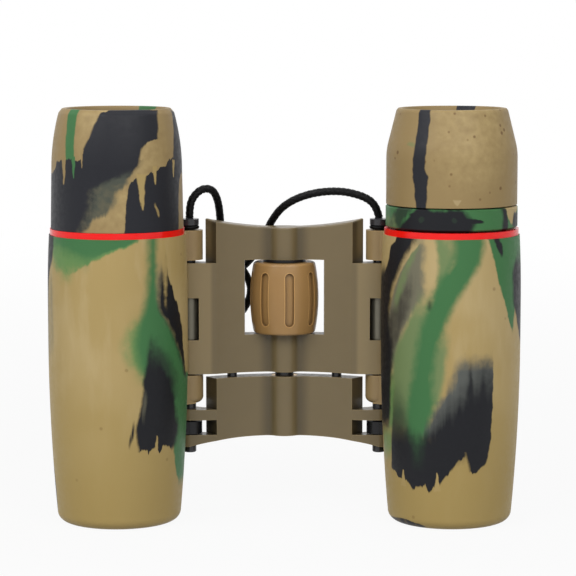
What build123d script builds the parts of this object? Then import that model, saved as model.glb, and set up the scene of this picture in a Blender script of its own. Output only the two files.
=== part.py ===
from build123d import *
from math import cos, pi, radians, sin, sqrt, tan
import os

# Driving dimensions, in millimetres and degrees

# Gaps
running_gap = 0.05          # radial, pins in lugs, sliding cells, screw in its bushes
push_gap = 0.02             # pieces that stay put in one another
seam = 0.05                 # flat joints between stacked pieces

# Barrels
barrel_spacing = 76.4       # between the optical axes
lens_radius = 11.0          # objective lens: the barrels are built up outwards from it
cell_wall = 1.43
tube_wall = 1.1
armour_wall = 2.38          # at the grip
armour_foot_inset = 1.75    # from the grip
armour_top_inset = 0.4
grip_low = 42.0             # the widest stretch of the armour
grip_high = 52.0
foot_corner = 2.4           # rounding of the foot
foot_lip = 2.0              # armour under the end of the tube

# Hinge line
hinge_angle = 33.8          # pin direction seen from the optical axis, from the X axis
pin_radius = 1.5
pin_below_fork = 1.6
pin_neck_radius = 1.3
pin_neck_height = 1.15
pin_head_radius = 2.3
pin_head_height = 1.4
knuckle_radius = 2.9
knuckle_gap = 0.35          # to the armour
lug_radius = 3.2
lug_neck = 5.4
lug_corner = 1.6

# Heights along the hinge line, from the fork upwards
fork_bottom = 15.35
low_prong_height = 2.8
arm_play_low = 0.2
arm_height = 2.9
arm_play_high = 0.4
high_prong_height = 2.45
focus_up = 0.75             # focus travel of the lower bridge from rest
focus_down = 2.0
low_lug_play = 0.7
low_lug_height = 6.65
knuckle_play = 0.35
knuckle_height = 26.05
top_lug_play = 0.7
top_lug_height = 6.9
armour_over_lug = 0.1

# Bridge plates
ridge_inset = 6.4           # from the pin to the front ridge, along X
ridge_rise = 2.3            # ridge in front of the pin
valley_depth = 4.04         # hollow of the front face
plate_thickness = 4.4
spine_radius = 3.9          # half-round tube down the middle
spine_blend = 2.4           # hollow rounding between the spine and the plate
ear_splay = 0.5             # back corners of the plate, outwards
top_over_knuckle = 7.95     # middle of the upper edge above the knuckle
top_arch = 2.3              # ends of the upper edge above its middle
bottom_arch = 2.05          # middle of the lower edge above its ends
bottom_slope = 0.3          # of the lower edge at its ends
bridge_gap_spare = 0.35     # left between the plates at full focus
edge_round = 0.3
window_half_width = 9.3
window_rise = 8.9           # window sill above the lower edge
window_height = 17.6
slot_rise = 8.0             # knuckle slot above the lower edge
slot_height = 9.9
slot_inset = 2.3            # slot edge from the pin, towards the middle
sleeve_radius = 2.2

# Focus drive
knob_radius = 8.05
knob_end_radius = 7.2
knob_corner = 0.7
knob_play = 0.2
groove_count = 8
groove_width = 2.07
groove_length = 12.5
groove_depth = 0.7
groove_turn = 9.0           # first groove, to the right of the front
washer_radius = 5.0
washer_height = 0.6
spindle_radius = 2.0
thread_radius = 2.2
screw_end_rise = 1.5        # lower end above the lower edge of the lower bridge
bush_wall = 0.9
bush_length = 4.8
nut_wall = 0.85
nut_length = 9.0
set_screw_radius = 1.0
set_screw_sink = 0.6
guide_x = 12.3
guide_radius = 1.15
guide_in_upper = 3.5
guide_in_lower = 6.5
guide_end_room = 2.5

# Eyepieces
trim_height = 1.4
trim_inset = 0.25           # from the top of the armour
eyepiece_height = 27.3      # rim above the trim ring
left_cup_base_inset = 0.2   # from the trim ring
left_cup_waist_inset = 0.3  # from the base
left_cup_straight = 15.2
left_cup_bulge = 0.3
left_cup_shoulder_inset = 2.0
left_cup_rim_drop = 1.0
right_cup_inset = 0.1       # from the diopter ring
right_cup_taper = 9.5
right_cup_shoulder_inset = 2.25
right_cup_rim_drop = 0.5
right_cup_blend = 15.0      # rounding where the taper starts
cup_shoulder_round = 1.2
cup_rim_inset = 2.65        # from the side of the right eyecup
cup_rim_width = 0.9
cup_depth = 6.2
cup_funnel = 3.2            # from the rim inwards
cup_shelf = 1.2
ring_play = 0.35
ring_height = 4.9
ring_inset = 0.3            # from the trim ring
ring_corner = 0.3
cup_play = 0.3
ocular_depth = 8.3          # ocular tube inside the barrel
ocular_wall = 2.4
ocular_lip = 2.0
ocular_lip_width = 1.4
field_lens_rim = 3.0
field_lens_bulge = 0.9
eye_lens_rim = 3.2
eye_lens_bulge = 1.1
lens_ring_height = 2.0
lens_ring_width = 1.6
spacer_wall = 1.0

# Prisms
holder_height = 17.8
holder_floor = 1.5
prism_half = 7.0
penta_short = 3.4
penta_long = 9.4
prism_air = 0.2
roof_height = 13.4          # prism stack above the holder's floor
roof_chamfer = 3.0
light_hole = 6.3
clip_width = 5.0
clip_height = 0.8
clip_inset = 1.5            # its ends from the tube's bore

# Objective cells
cell_height = 12.5
cell_over_arm = 2.3
lens_rim = 4.6
lens_bulge = 1.3
lens_seat = 0.75
cell_ring_height = 2.0
cell_ring_sink = 0.5

# Neck cord
cord_radius = 0.85
eye_ring_radius = 2.9
eye_ring_play = 0.1
throat_behind = 3.3         # cord's throat behind the pin
throat_height = 2.4         # its end above the underside of the eye
throat_length = 2.2
right_lean = 0.25           # of the right throat towards the middle, per unit of height
corner_share = 0.45         # of the shorter run beside it, used by each rounded corner
coil_inner = 7.0
coil_turns = 2              # turns in each layer
coil_layers = 4
coil_pitch = 2.6
coil_layer_pitch = 2.35
coil_x = -41.0
coil_back = 3.2             # between the left barrel and the coil
tie_thickness = 0.5
tie_width = 3.0
tie_room = 0.1

# Heights and places worked out from the driving dimensions
arm_low = fork_bottom + low_prong_height + arm_play_low
arm_high = arm_low + arm_height
high_prong_low = arm_high + arm_play_high
high_prong_high = high_prong_low + high_prong_height
low_lug_low = high_prong_high + focus_up + low_lug_play
low_lug_high = low_lug_low + low_lug_height
knuckle_low = low_lug_high + knuckle_play
knuckle_high = knuckle_low + knuckle_height
top_lug_low = knuckle_high + top_lug_play
top_lug_high = top_lug_low + top_lug_height
armour_top = top_lug_high + armour_over_lug
trim_top = armour_top + trim_height
rim_top = trim_top + eyepiece_height

# Radii from the objective lens outwards, then those of the eyepieces
mouth_radius = lens_radius
tube_bore = lens_radius + push_gap + cell_wall + running_gap
tube_radius = tube_bore + tube_wall
armour_radius = tube_radius + push_gap + armour_wall
armour_foot_radius = armour_radius - armour_foot_inset
armour_top_radius = armour_radius - armour_top_inset
trim_radius = armour_top_radius - trim_inset
ring_radius = trim_radius - ring_inset
left_cup_base_radius = trim_radius - left_cup_base_inset
left_cup_waist_radius = left_cup_base_radius - left_cup_waist_inset
left_cup_shoulder_radius = left_cup_base_radius - left_cup_shoulder_inset
right_cup_radius = ring_radius - right_cup_inset
right_cup_shoulder_radius = right_cup_radius - right_cup_shoulder_inset
cup_rim_radius = right_cup_radius - cup_rim_inset
cup_throat_radius = cup_rim_radius - cup_rim_width - cup_funnel

pin_distance = armour_radius + knuckle_gap + knuckle_radius
pin_dx = pin_distance * cos(radians(hinge_angle))
pin_dy = pin_distance * sin(radians(hinge_angle))
ridge_dy = pin_dy - ridge_rise
spine_dy = ridge_dy + valley_depth + plate_thickness / 2

# The front of the armour and the back of the knob lie evenly about the origin
barrel_x = barrel_spacing / 2
barrel_y = (armour_radius - spine_dy - knob_radius) / 2
pin_x = barrel_x - pin_dx
pin_y = barrel_y + pin_dy
ridge_x = pin_x - ridge_inset
ridge_y = barrel_y + ridge_dy
spine_y = barrel_y + spine_dy

# The bridge plates' front and back faces are arcs about one centre
front_radius = (ridge_x**2 + valley_depth**2) / (2 * valley_depth)
back_radius = front_radius + plate_thickness
arch_y = ridge_y + valley_depth - front_radius
back_x = ridge_x * back_radius / front_radius + ear_splay
back_y = arch_y + sqrt(back_radius**2 - back_x**2)
guide_y = arch_y + sqrt((front_radius + plate_thickness / 2) ** 2 - guide_x**2)

arm_neck = lug_neck - 2 * arm_play_high
lower_top = knuckle_low - focus_up - bridge_gap_spare
lower_middle = fork_bottom + bottom_arch
upper_middle = knuckle_high + top_over_knuckle
window_low = knuckle_low + window_rise
window_high = window_low + window_height
slot_low = knuckle_low + slot_rise
slot_high = slot_low + slot_height
spine = (0, spine_y)

ocular_low = armour_top - ocular_depth
ocular_top = rim_top - cup_depth - cup_shelf
ocular_radius = tube_bore - running_gap
ocular_bore = ocular_radius - ocular_wall
bearing_radius = spindle_radius + running_gap + bush_wall

names = {-1: "left", 1: "right"}


def axis_of(side):
    """Where a barrel's optical axis stands: side is -1 on the left and 1 on the right."""
    return (side * barrel_x, barrel_y)


def pin_of(side):
    return (side * pin_x, pin_y)


def half_section(centre):
    """Upright plane through a centre line: local x is the radius, local y the height."""
    return Plane(origin=(centre[0], centre[1], 0), x_dir=(1, 0, 0), z_dir=(0, -1, 0))


def upright(centre):
    return Axis((centre[0], centre[1], 0), (0, 0, 1))


def turned(centre, outline):
    """A piece turned about an upright centre line, from (radius, height) corners."""
    with BuildPart() as piece:
        with BuildSketch(half_section(centre)):
            with BuildLine():
                Polyline(*outline, close=True)
            make_face()
        revolve(axis=upright(centre))
    return piece.part


def ring(centre, inner, outer, low, high):
    return turned(centre, [(inner, low), (outer, low), (outer, high), (inner, high)])


def hinge_arm(side, low, high, radius, neck, corner=0):
    """A flat arm from an optical axis to a round boss on the hinge pin, rounded below."""
    turn = hinge_angle if side < 0 else 180 - hinge_angle
    with BuildPart() as arm:
        add(ring(pin_of(side), 0, radius, low, high))
        if corner > 0:
            fillet(arm.edges().filter_by(GeomType.CIRCLE).sort_by(Axis.Z)[0], corner)
        with BuildSketch(Plane.XY.offset(low)):
            with Locations(Location((*axis_of(side), 0), (0, 0, turn))):
                Rectangle(pin_distance, neck, align=(Align.MIN, Align.CENTER))
        extrude(amount=high - low)
    return arm.part


def lens(centre, radius, low, high, seat_radius, bulge_low, bulge_high):
    """A round lens with a flat rim from low to high and a bulge on each face."""
    with BuildPart() as piece:
        with BuildSketch(half_section(centre)):
            with BuildLine():
                Line((0, low - bulge_low), (0, high + bulge_high))
                TangentArc((0, high + bulge_high), (seat_radius, high), tangent=(1, 0))
                Polyline((seat_radius, high), (radius, high), (radius, low), (seat_radius, low))
                TangentArc((0, low - bulge_low), (seat_radius, low), tangent=(1, 0))
            make_face()
        revolve(axis=upright(centre))
    return piece.part


def keep(part, name):
    part.label = name
    export_step(part, f"parts/{name}.step")


os.makedirs("parts", exist_ok=True)


# Barrel tubes, with the hinge lugs and the slot for the objective cell's arm
def barrel_tube(side):
    centre = axis_of(side)
    with BuildPart() as tube:
        add(ring(centre, 0, tube_radius, foot_lip, armour_top))
        add(hinge_arm(side, top_lug_low, top_lug_high, lug_radius, lug_neck))
        add(hinge_arm(side, low_lug_low, low_lug_high, lug_radius, lug_neck, lug_corner))
        add(ring(centre, 0, tube_bore, 0, rim_top), mode=Mode.SUBTRACT)
        add(ring(pin_of(side), 0, pin_radius + running_gap, 0, rim_top), mode=Mode.SUBTRACT)
        add(arm_slot(side), mode=Mode.SUBTRACT)
    return tube.part


def arm_slot(side):
    """The room that a cell's arm needs in the barrel wall over the focus travel."""
    low = arm_low - focus_down - arm_play_low
    high = arm_high + focus_up + arm_play_high
    return hinge_arm(side, low, high, knuckle_radius, arm_neck + 2 * arm_play_low)


# Rubber armour, barrel-shaped, with notches for the lugs and the arm
def armour(side):
    centre = axis_of(side)
    inner = tube_radius + push_gap
    with BuildPart() as sleeve:
        with BuildSketch(half_section(centre)):
            with BuildLine():
                flat = Line((mouth_radius, 0), (armour_foot_radius - foot_corner, 0))
                foot = TangentArc(flat @ 1, (armour_foot_radius, foot_corner), tangent=(1, 0))
                TangentArc((armour_radius, grip_low), foot @ 1, tangent=(0, -1))
                grip = Line((armour_radius, grip_low), (armour_radius, grip_high))
                neck = TangentArc(grip @ 1, (armour_top_radius, armour_top), tangent=(0, 1))
                Polyline(
                    neck @ 1,
                    (inner, armour_top),
                    (inner, foot_lip),
                    (mouth_radius, foot_lip),
                    flat @ 0,
                )
            make_face()
        revolve(axis=upright(centre))
        notch = lug_neck + 2 * push_gap
        for low, high in ((low_lug_low, low_lug_high), (top_lug_low, rim_top)):
            add(
                hinge_arm(side, low - push_gap, high + push_gap, lug_radius + push_gap, notch),
                mode=Mode.SUBTRACT,
            )
        add(arm_slot(side), mode=Mode.SUBTRACT)
    return sleeve.part


# Prism holder, the two prisms of the roof-prism pair and the clip that holds them
def prism_set(side):
    centre = axis_of(side)
    section = half_section(centre)
    top = ocular_low - seam
    low = top - holder_height
    floor = low + holder_floor
    prism_top = floor + roof_height
    cavity = 2 * (prism_half + push_gap)
    clip_reach = tube_bore - clip_inset

    with BuildPart() as holder:
        add(ring(centre, 0, tube_bore - push_gap, low, top))
        with BuildSketch(Plane.XY.offset(floor)):
            with Locations(centre):
                Rectangle(cavity, cavity)
        extrude(amount=holder_height, mode=Mode.SUBTRACT)
        with BuildSketch(Plane.XY.offset(low)):
            with Locations(centre):
                Circle(light_hole)
        extrude(amount=holder_floor, mode=Mode.SUBTRACT)
        with BuildSketch(Plane.XY.offset(prism_top)):
            with Locations(centre):
                Rectangle(2 * (clip_reach + push_gap), clip_width + 2 * push_gap)
        extrude(amount=holder_height, mode=Mode.SUBTRACT)

    with BuildPart() as penta:
        with BuildSketch(section):
            with BuildLine():
                Polyline(
                    (-prism_half, floor),
                    (prism_half, floor),
                    (prism_half, floor + penta_short),
                    (-prism_half, floor + penta_long),
                    close=True,
                )
            make_face()
        extrude(amount=prism_half, both=True)

    with BuildPart() as roof:
        with BuildSketch(section):
            with BuildLine():
                Polyline(
                    (-prism_half, floor + penta_long + prism_air),
                    (prism_half, floor + penta_short + prism_air),
                    (prism_half, prism_top),
                    (-prism_half, prism_top),
                    close=True,
                )
            make_face()
        extrude(amount=prism_half, both=True)
        chamfer(roof.edges().filter_by(Axis.Z).group_by(Axis.X)[-1], roof_chamfer)

    with BuildPart() as clip:
        with BuildSketch(Plane.XY.offset(prism_top)):
            with Locations(centre):
                Rectangle(2 * clip_reach, clip_width)
        extrude(amount=clip_height)

    keep(holder.part, f"{names[side]}_prism_holder")
    keep(penta.part, f"{names[side]}_half_penta_prism")
    keep(roof.part, f"{names[side]}_roof_prism")
    keep(clip.part, f"{names[side]}_prism_clip")


# Objective cell with its arm, the objective lens and its threaded retainer
def objective_set(side):
    centre = axis_of(side)
    high = arm_high + cell_over_arm
    low = high - cell_height
    ring_low = low + cell_ring_sink
    lens_low = ring_low + cell_ring_height
    lens_high = lens_low + lens_rim
    clear = lens_radius - lens_seat

    with BuildPart() as cell:
        add(ring(centre, 0, tube_bore - running_gap, low, high))
        add(hinge_arm(side, arm_low, arm_high, knuckle_radius, arm_neck))
        add(ring(centre, 0, lens_radius + push_gap, low, lens_high), mode=Mode.SUBTRACT)
        add(ring(centre, 0, clear, lens_high, high), mode=Mode.SUBTRACT)
        add(ring(pin_of(side), 0, pin_radius + running_gap, low, high), mode=Mode.SUBTRACT)

    glass = lens(centre, lens_radius, lens_low, lens_high, clear - push_gap, lens_bulge, lens_bulge)
    retainer = ring(centre, clear, lens_radius, ring_low, lens_low)
    keep(cell.part, f"{names[side]}_objective_cell")
    keep(glass, f"{names[side]}_objective_lens")
    keep(retainer, f"{names[side]}_objective_retainer")


# Ocular tube with its two lenses, the spacer between them and the retainer on top
def ocular_set(side):
    centre = axis_of(side)
    lip_top = ocular_low + ocular_lip
    lip_radius = ocular_bore - ocular_lip_width
    piece_radius = ocular_bore - push_gap
    spacer_radius = piece_radius - spacer_wall
    field_high = lip_top + field_lens_rim
    ring_low = ocular_top - lens_ring_height
    eye_low = ring_low - eye_lens_rim
    seat = min(lip_radius, spacer_radius, piece_radius - lens_ring_width) - push_gap

    tube = turned(centre, [
        (lip_radius, ocular_low),
        (ocular_radius, ocular_low),
        (ocular_radius, ocular_top),
        (ocular_bore, ocular_top),
        (ocular_bore, lip_top),
        (lip_radius, lip_top),
    ])
    field = lens(centre, piece_radius, lip_top, field_high, seat, field_lens_bulge, field_lens_bulge)
    spacer = ring(centre, spacer_radius, piece_radius, field_high, eye_low)
    eye = lens(centre, piece_radius, eye_low, ring_low, seat, eye_lens_bulge, eye_lens_bulge)
    retainer = ring(centre, piece_radius - lens_ring_width, piece_radius, ring_low, ocular_top)
    keep(tube, f"{names[side]}_ocular_tube")
    keep(field, f"{names[side]}_field_lens")
    keep(spacer, f"{names[side]}_lens_spacer")
    keep(eye, f"{names[side]}_eye_lens")
    keep(retainer, f"{names[side]}_lens_retainer")


# Eyecups: the sides run up to a shoulder, then taper to a thin rim round an open funnel
def eyecup(side, base, base_radius, waist_radius, waist, shoulder_radius, rim_drop, bulge):
    centre = axis_of(side)
    bore = ocular_radius + push_gap
    shoulder = (shoulder_radius, rim_top - rim_drop)
    with BuildPart() as cup:
        with BuildSketch(half_section(centre)) as outline:
            with BuildLine():
                Polyline((bore, base), (base_radius, base), (waist_radius, waist))
                if bulge > 0:
                    SagittaArc((waist_radius, waist), shoulder, -bulge)
                else:
                    Line((waist_radius, waist), shoulder)
                Polyline(
                    shoulder,
                    (cup_rim_radius, rim_top),
                    (cup_rim_radius - cup_rim_width, rim_top),
                    (cup_throat_radius, rim_top - cup_depth),
                    (cup_throat_radius, ocular_top),
                    (bore, ocular_top),
                    (bore, base),
                )
            make_face()
            fillet(outline.vertices().group_by(Axis.Y)[-1], edge_round)
            fillet(outline.vertices().sort_by_distance(shoulder)[0], cup_shoulder_round)
            if bulge == 0:
                fillet(outline.vertices().sort_by_distance((waist_radius, waist))[0], right_cup_blend)
        revolve(axis=upright(centre))
    return cup.part


for side in names:
    keep(barrel_tube(side), f"{names[side]}_barrel_tube")
    keep(armour(side), f"{names[side]}_armour")
    trim = ring(axis_of(side), ocular_radius + running_gap, trim_radius, armour_top, trim_top)
    keep(trim, f"{names[side]}_trim_ring")
    prism_set(side)
    objective_set(side)
    ocular_set(side)

left_cup_base = trim_top + seam
left_cup = eyecup(
    -1,
    left_cup_base,
    left_cup_base_radius,
    left_cup_waist_radius,
    left_cup_base + left_cup_straight,
    left_cup_shoulder_radius,
    left_cup_rim_drop,
    left_cup_bulge,
)
keep(left_cup, "left_eyecup")

ring_low = trim_top + ring_play
ring_high = ring_low + ring_height
right_cup = eyecup(
    1,
    ring_high + cup_play,
    right_cup_radius,
    right_cup_radius,
    rim_top - right_cup_taper,
    right_cup_shoulder_radius,
    right_cup_rim_drop,
    0,
)
keep(right_cup, "right_eyecup")

ring_bore = ocular_radius + 2 * running_gap
diopter_ring = turned(axis_of(1), [
    (ring_bore, ring_low),
    (ring_radius - ring_corner, ring_low),
    (ring_radius, ring_low + ring_corner),
    (ring_radius, ring_high - ring_corner),
    (ring_radius - ring_corner, ring_high),
    (ring_bore, ring_high),
])
keep(diopter_ring, "diopter_ring")


# Bridge plates: an arched plate, hollow to the front, with a round spine down its middle
def bridge_plate(low, high):
    with BuildPart() as plate:
        with BuildSketch(Plane.XY.offset(low)) as section:
            with BuildLine():
                front = ThreePointArc(
                    (-ridge_x, ridge_y), (0, arch_y + front_radius), (ridge_x, ridge_y)
                )
                back = ThreePointArc((back_x, back_y), (0, arch_y + back_radius), (-back_x, back_y))
                Line(front @ 1, back @ 0)
                Line(back @ 1, front @ 0)
            make_face()
            with Locations(spine):
                Circle(spine_radius)
            fillet(section.vertices().filter_by(lambda v: abs(v.X) < spine_radius), spine_blend)
        extrude(amount=high - low)
    return plate.part


def hinge_block(side, low, high):
    """A knuckle or fork prong: a round boss on the pin, and the block that carries it, bowed in front."""
    front = (side * pin_x, pin_y - knuckle_radius)
    ridge = (side * ridge_x, ridge_y)
    with BuildPart() as block:
        with BuildSketch(Plane.XY.offset(low)):
            with Locations(pin_of(side)):
                Circle(knuckle_radius)
            with BuildLine():
                TangentArc(front, ridge, tangent=(-side, 0))
                Polyline(
                    ridge,
                    (side * back_x, back_y),
                    (side * pin_x, pin_y + knuckle_radius),
                    front,
                )
            make_face()
        extrude(amount=high - low)
    return block.part


with BuildPart() as upper_bridge:
    add(bridge_plate(knuckle_low, upper_middle + 2 * top_arch))
    # The upper edge dips towards the middle
    with BuildSketch(Plane.XZ):
        with BuildLine():
            edge = ThreePointArc(
                (-back_x, upper_middle + top_arch),
                (0, upper_middle),
                (back_x, upper_middle + top_arch),
            )
            Polyline(edge @ 1, (barrel_x, rim_top), (-barrel_x, rim_top), edge @ 0)
        make_face()
    extrude(amount=barrel_spacing, both=True, mode=Mode.SUBTRACT)
    for side in names:
        add(hinge_block(side, knuckle_low, knuckle_high))
    # The knob's window
    with BuildSketch(Plane.XZ):
        with Locations((0, (window_low + window_high) / 2)):
            Rectangle(2 * window_half_width, window_height)
    extrude(amount=barrel_spacing, both=True, mode=Mode.SUBTRACT)
    fillet(upper_bridge.faces().group_by(Axis.Z)[-1].edges(), edge_round)
    for side in names:
        add(ring(pin_of(side), 0, pin_radius + push_gap, knuckle_low, knuckle_high), mode=Mode.SUBTRACT)
        add(ring(pin_of(side), 0, sleeve_radius + push_gap, slot_low, slot_high), mode=Mode.SUBTRACT)
        with BuildSketch(Plane.XY.offset(slot_low)):
            with Locations((side * (pin_x - slot_inset), pin_y)):
                Rectangle(
                    2 * slot_inset + 2 * knuckle_radius,
                    2 * knuckle_radius,
                    align=(Align.MIN if side > 0 else Align.MAX, Align.MAX),
                )
        extrude(amount=slot_height, mode=Mode.SUBTRACT)
        with BuildSketch(Plane.XY.offset(knuckle_low)):
            with Locations((side * guide_x, guide_y)):
                Circle(guide_radius + push_gap)
        extrude(amount=guide_in_upper, mode=Mode.SUBTRACT)
    # Bearing for the upper bush, the lower bush and the thread below it
    add(ring(spine, 0, bearing_radius, window_high, window_high + bush_length + seam), mode=Mode.SUBTRACT)
    add(ring(spine, 0, bearing_radius, window_low - bush_length, window_low), mode=Mode.SUBTRACT)
    add(
        ring(spine, 0, thread_radius + 2 * running_gap, knuckle_low, window_low - bush_length),
        mode=Mode.SUBTRACT,
    )
keep(upper_bridge.part, "upper_bridge")

with BuildPart() as lower_bridge:
    add(bridge_plate(fork_bottom, lower_top))
    for side in names:
        add(hinge_block(side, fork_bottom, fork_bottom + low_prong_height))
        add(hinge_block(side, high_prong_low, high_prong_high))
    # The lower edge rises towards the middle
    with BuildSketch(Plane.XZ):
        with BuildLine():
            edge = Spline(
                (-pin_x, fork_bottom),
                (0, lower_middle),
                (pin_x, fork_bottom),
                tangents=((1, bottom_slope), (1, -bottom_slope)),
            )
            Polyline(edge @ 1, (pin_x, 0), (-pin_x, 0), edge @ 0)
        make_face()
    extrude(amount=barrel_spacing, both=True, mode=Mode.SUBTRACT)
    for side in names:
        add(ring(pin_of(side), 0, pin_radius + running_gap, 0, lower_top), mode=Mode.SUBTRACT)
        with BuildSketch(Plane.XY.offset(lower_top)):
            with Locations((side * guide_x, guide_y)):
                Circle(guide_radius + running_gap)
        extrude(amount=-(guide_in_lower + guide_end_room), mode=Mode.SUBTRACT)
    nut_low = lower_top - seam - nut_length
    nut_radius = thread_radius + running_gap + nut_wall
    add(ring(spine, 0, nut_radius + push_gap, nut_low, lower_top), mode=Mode.SUBTRACT)
    add(ring(spine, 0, thread_radius + 2 * running_gap, 0, nut_low), mode=Mode.SUBTRACT)
keep(lower_bridge.part, "lower_bridge")

# Guide pins stand in the upper bridge and slide in the lower one
with BuildPart() as guide_pins:
    with BuildSketch(Plane.XY.offset(lower_top - guide_in_lower)):
        with Locations((-guide_x, guide_y), (guide_x, guide_y)):
            Circle(guide_radius)
    extrude(amount=knuckle_low + guide_in_upper - lower_top + guide_in_lower)
keep(guide_pins.part, "guide_pins")

# Hinge pins with a neck for the cord under a mushroom head, and the sleeves on them
for side in names:
    head_low = top_lug_high + seam + pin_neck_height
    head_high = head_low + pin_head_height
    with BuildPart() as pin:
        with BuildSketch(half_section(pin_of(side))) as outline:
            with BuildLine():
                Polyline(
                    (0, fork_bottom - pin_below_fork),
                    (pin_radius, fork_bottom - pin_below_fork),
                    (pin_radius, top_lug_high + seam),
                    (pin_neck_radius, top_lug_high + seam),
                    (pin_neck_radius, head_low),
                    (pin_head_radius, head_low),
                    (pin_head_radius, head_high),
                    (0, head_high),
                    close=True,
                )
            make_face()
            rims = outline.vertices().filter_by(lambda v: v.X > pin_neck_radius)
            fillet(rims.group_by(Axis.Y)[0], pin_radius / 4)
            fillet(rims.group_by(Axis.Y)[-1], pin_head_height / 2)
        revolve(axis=upright(pin_of(side)))
    keep(pin.part, f"{names[side]}_hinge_pin")
    sleeve = ring(pin_of(side), pin_radius + push_gap, sleeve_radius, slot_low + seam, slot_high - seam)
    keep(sleeve, f"{names[side]}_hinge_sleeve")

# Focus knob with its grooves, spindle and screw, bushes, nut, washer and set screw
knob_low = window_low + knob_play
knob_high = window_high - washer_height - 2 * seam
knob_middle = (knob_low + knob_high) / 2
set_screw_turn = 90 + groove_turn - 180 / groove_count


def knob_form(inset):
    """The barrel shape of the knob, all over inset by a depth."""
    end = knob_end_radius - inset
    with BuildPart() as form:
        with BuildSketch(half_section(spine)):
            with BuildLine():
                ThreePointArc(
                    (end, knob_low), (knob_radius - inset, knob_middle), (end, knob_high)
                )
                Polyline((end, knob_high), (0, knob_high), (0, knob_low), (end, knob_low))
            make_face()
        revolve(axis=upright(spine))
    return form.part


def radial_plane(turn):
    """Upright plane that faces away from the spine, at the knob's mid height."""
    outward = (cos(radians(turn)), sin(radians(turn)), 0)
    return Plane(origin=(*spine, knob_middle), x_dir=(0, 0, 1), z_dir=outward)


with BuildPart() as groove_cutter:
    for turn in range(groove_count):
        with BuildSketch(radial_plane(groove_turn - 90 + turn * 360 / groove_count)):
            SlotOverall(groove_length, groove_width)
        extrude(amount=knob_radius)
    add(knob_form(groove_depth), mode=Mode.SUBTRACT)

with BuildPart() as knob:
    add(knob_form(0))
    fillet(knob.edges().filter_by(GeomType.CIRCLE), knob_corner)
    add(groove_cutter.part, mode=Mode.SUBTRACT)
    add(ring(spine, 0, spindle_radius + push_gap, knob_low, knob_high), mode=Mode.SUBTRACT)
    with BuildSketch(radial_plane(set_screw_turn)):
        Circle(set_screw_radius + push_gap)
    extrude(amount=knob_radius, mode=Mode.SUBTRACT)
keep(knob.part, "focus_knob")

with BuildPart() as set_screw:
    with BuildSketch(radial_plane(set_screw_turn).offset(spindle_radius + seam)):
        Circle(set_screw_radius)
    extrude(amount=knob_radius - set_screw_sink - spindle_radius - seam)
keep(set_screw.part, "knob_set_screw")

thread_top = window_low - bush_length - seam
focus_screw = turned(spine, [
    (0, lower_middle + screw_end_rise),
    (thread_radius, lower_middle + screw_end_rise),
    (thread_radius, thread_top),
    (spindle_radius, thread_top),
    (spindle_radius, window_high + bush_length),
    (0, window_high + bush_length),
])
keep(focus_screw, "focus_screw")

bush_bore = spindle_radius + running_gap
bush_radius = bearing_radius - push_gap
keep(ring(spine, bush_bore, bush_radius, window_high, window_high + bush_length), "upper_focus_bush")
keep(ring(spine, bush_bore, bush_radius, window_low - bush_length, window_low), "lower_focus_bush")
keep(ring(spine, bush_bore, washer_radius, window_high - washer_height, window_high), "thrust_washer")
keep(ring(spine, thread_radius + running_gap, nut_radius, nut_low, lower_top - seam), "focus_nut")


# Neck cord: an eye on each pin, a run from each eye and a tied coil behind the left barrel
eye_low = top_lug_high + seam + eye_ring_play
eye_high = eye_low + pin_neck_height - 2 * eye_ring_play
throat_top = eye_low + throat_height
throat_y = pin_y + throat_behind


def cord_eye(side, lean):
    """The looped end of the cord round a pin's neck, with the throat where the cord leaves it."""
    end = (side * pin_x, throat_y, throat_top)
    with BuildPart() as eye:
        add(ring(pin_of(side), pin_neck_radius + eye_ring_play, eye_ring_radius, eye_low, eye_high))
        with BuildSketch(Plane(origin=end, z_dir=(-side * lean, 0, 1))):
            Circle(cord_radius)
        extrude(amount=-throat_length)
    return eye.part


def cord_run(label, route):
    """A tube along the route, with each corner rounded as far as its runs allow."""
    points = [Vector(*point) for point in route]
    corner_radii = []
    for before, corner, after in zip(points, points[1:], points[2:]):
        half_turn = (corner - before).get_angle(after - corner) / 2
        shorter = min((corner - before).length, (after - corner).length)
        corner_radii.append(corner_share * shorter / tan(radians(half_turn)))
    with BuildPart() as run:
        with BuildLine() as path:
            FilletPolyline(*points, radius=corner_radii)
        with BuildSketch(Plane(origin=points[0], z_dir=points[1] - points[0])):
            Circle(cord_radius)
        sweep(path=path.wires()[0])
    length = path.wires()[0].length
    ratio = run.part.volume / (pi * cord_radius**2 * length)
    print(label, "length", round(length, 1), "volume ratio", round(ratio, 4))
    print(label, "radii in diameters", [round(r / (2 * cord_radius), 1) for r in corner_radii])
    keep(run.part, label)


coil_outer = coil_inner + coil_turns * coil_pitch
coil_y = barrel_y + armour_radius + coil_back + cord_radius + coil_outer
coil_low = tie_thickness + tie_room + cord_radius
coil_high = coil_low + (coil_layers - 1) * coil_layer_pitch
coil_lead = 2 * cord_radius


def coil_stations():
    """A point and a heading for each half turn: layers spiral in and out, a half turn climbs."""
    spiral = 2 * coil_turns
    stations = []
    for layer in range(coil_layers):
        inward = layer % 2 == 0
        for half in range(spiral + 1):
            steps = spiral - half if inward else half
            radius = coil_inner + steps * coil_pitch / 2
            turn = 90 + 180 * (layer * (spiral + 1) + half)
            height = coil_low + layer * coil_layer_pitch
            across = sin(radians(turn))
            drift = -coil_pitch / (2 * pi) if inward else coil_pitch / (2 * pi)
            if half in (0, spiral):
                drift = 0
            heading = Vector(-across * radius, across * drift, 0).normalized()
            stations.append((Vector(coil_x, coil_y + across * radius, height), heading))
    return stations


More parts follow.
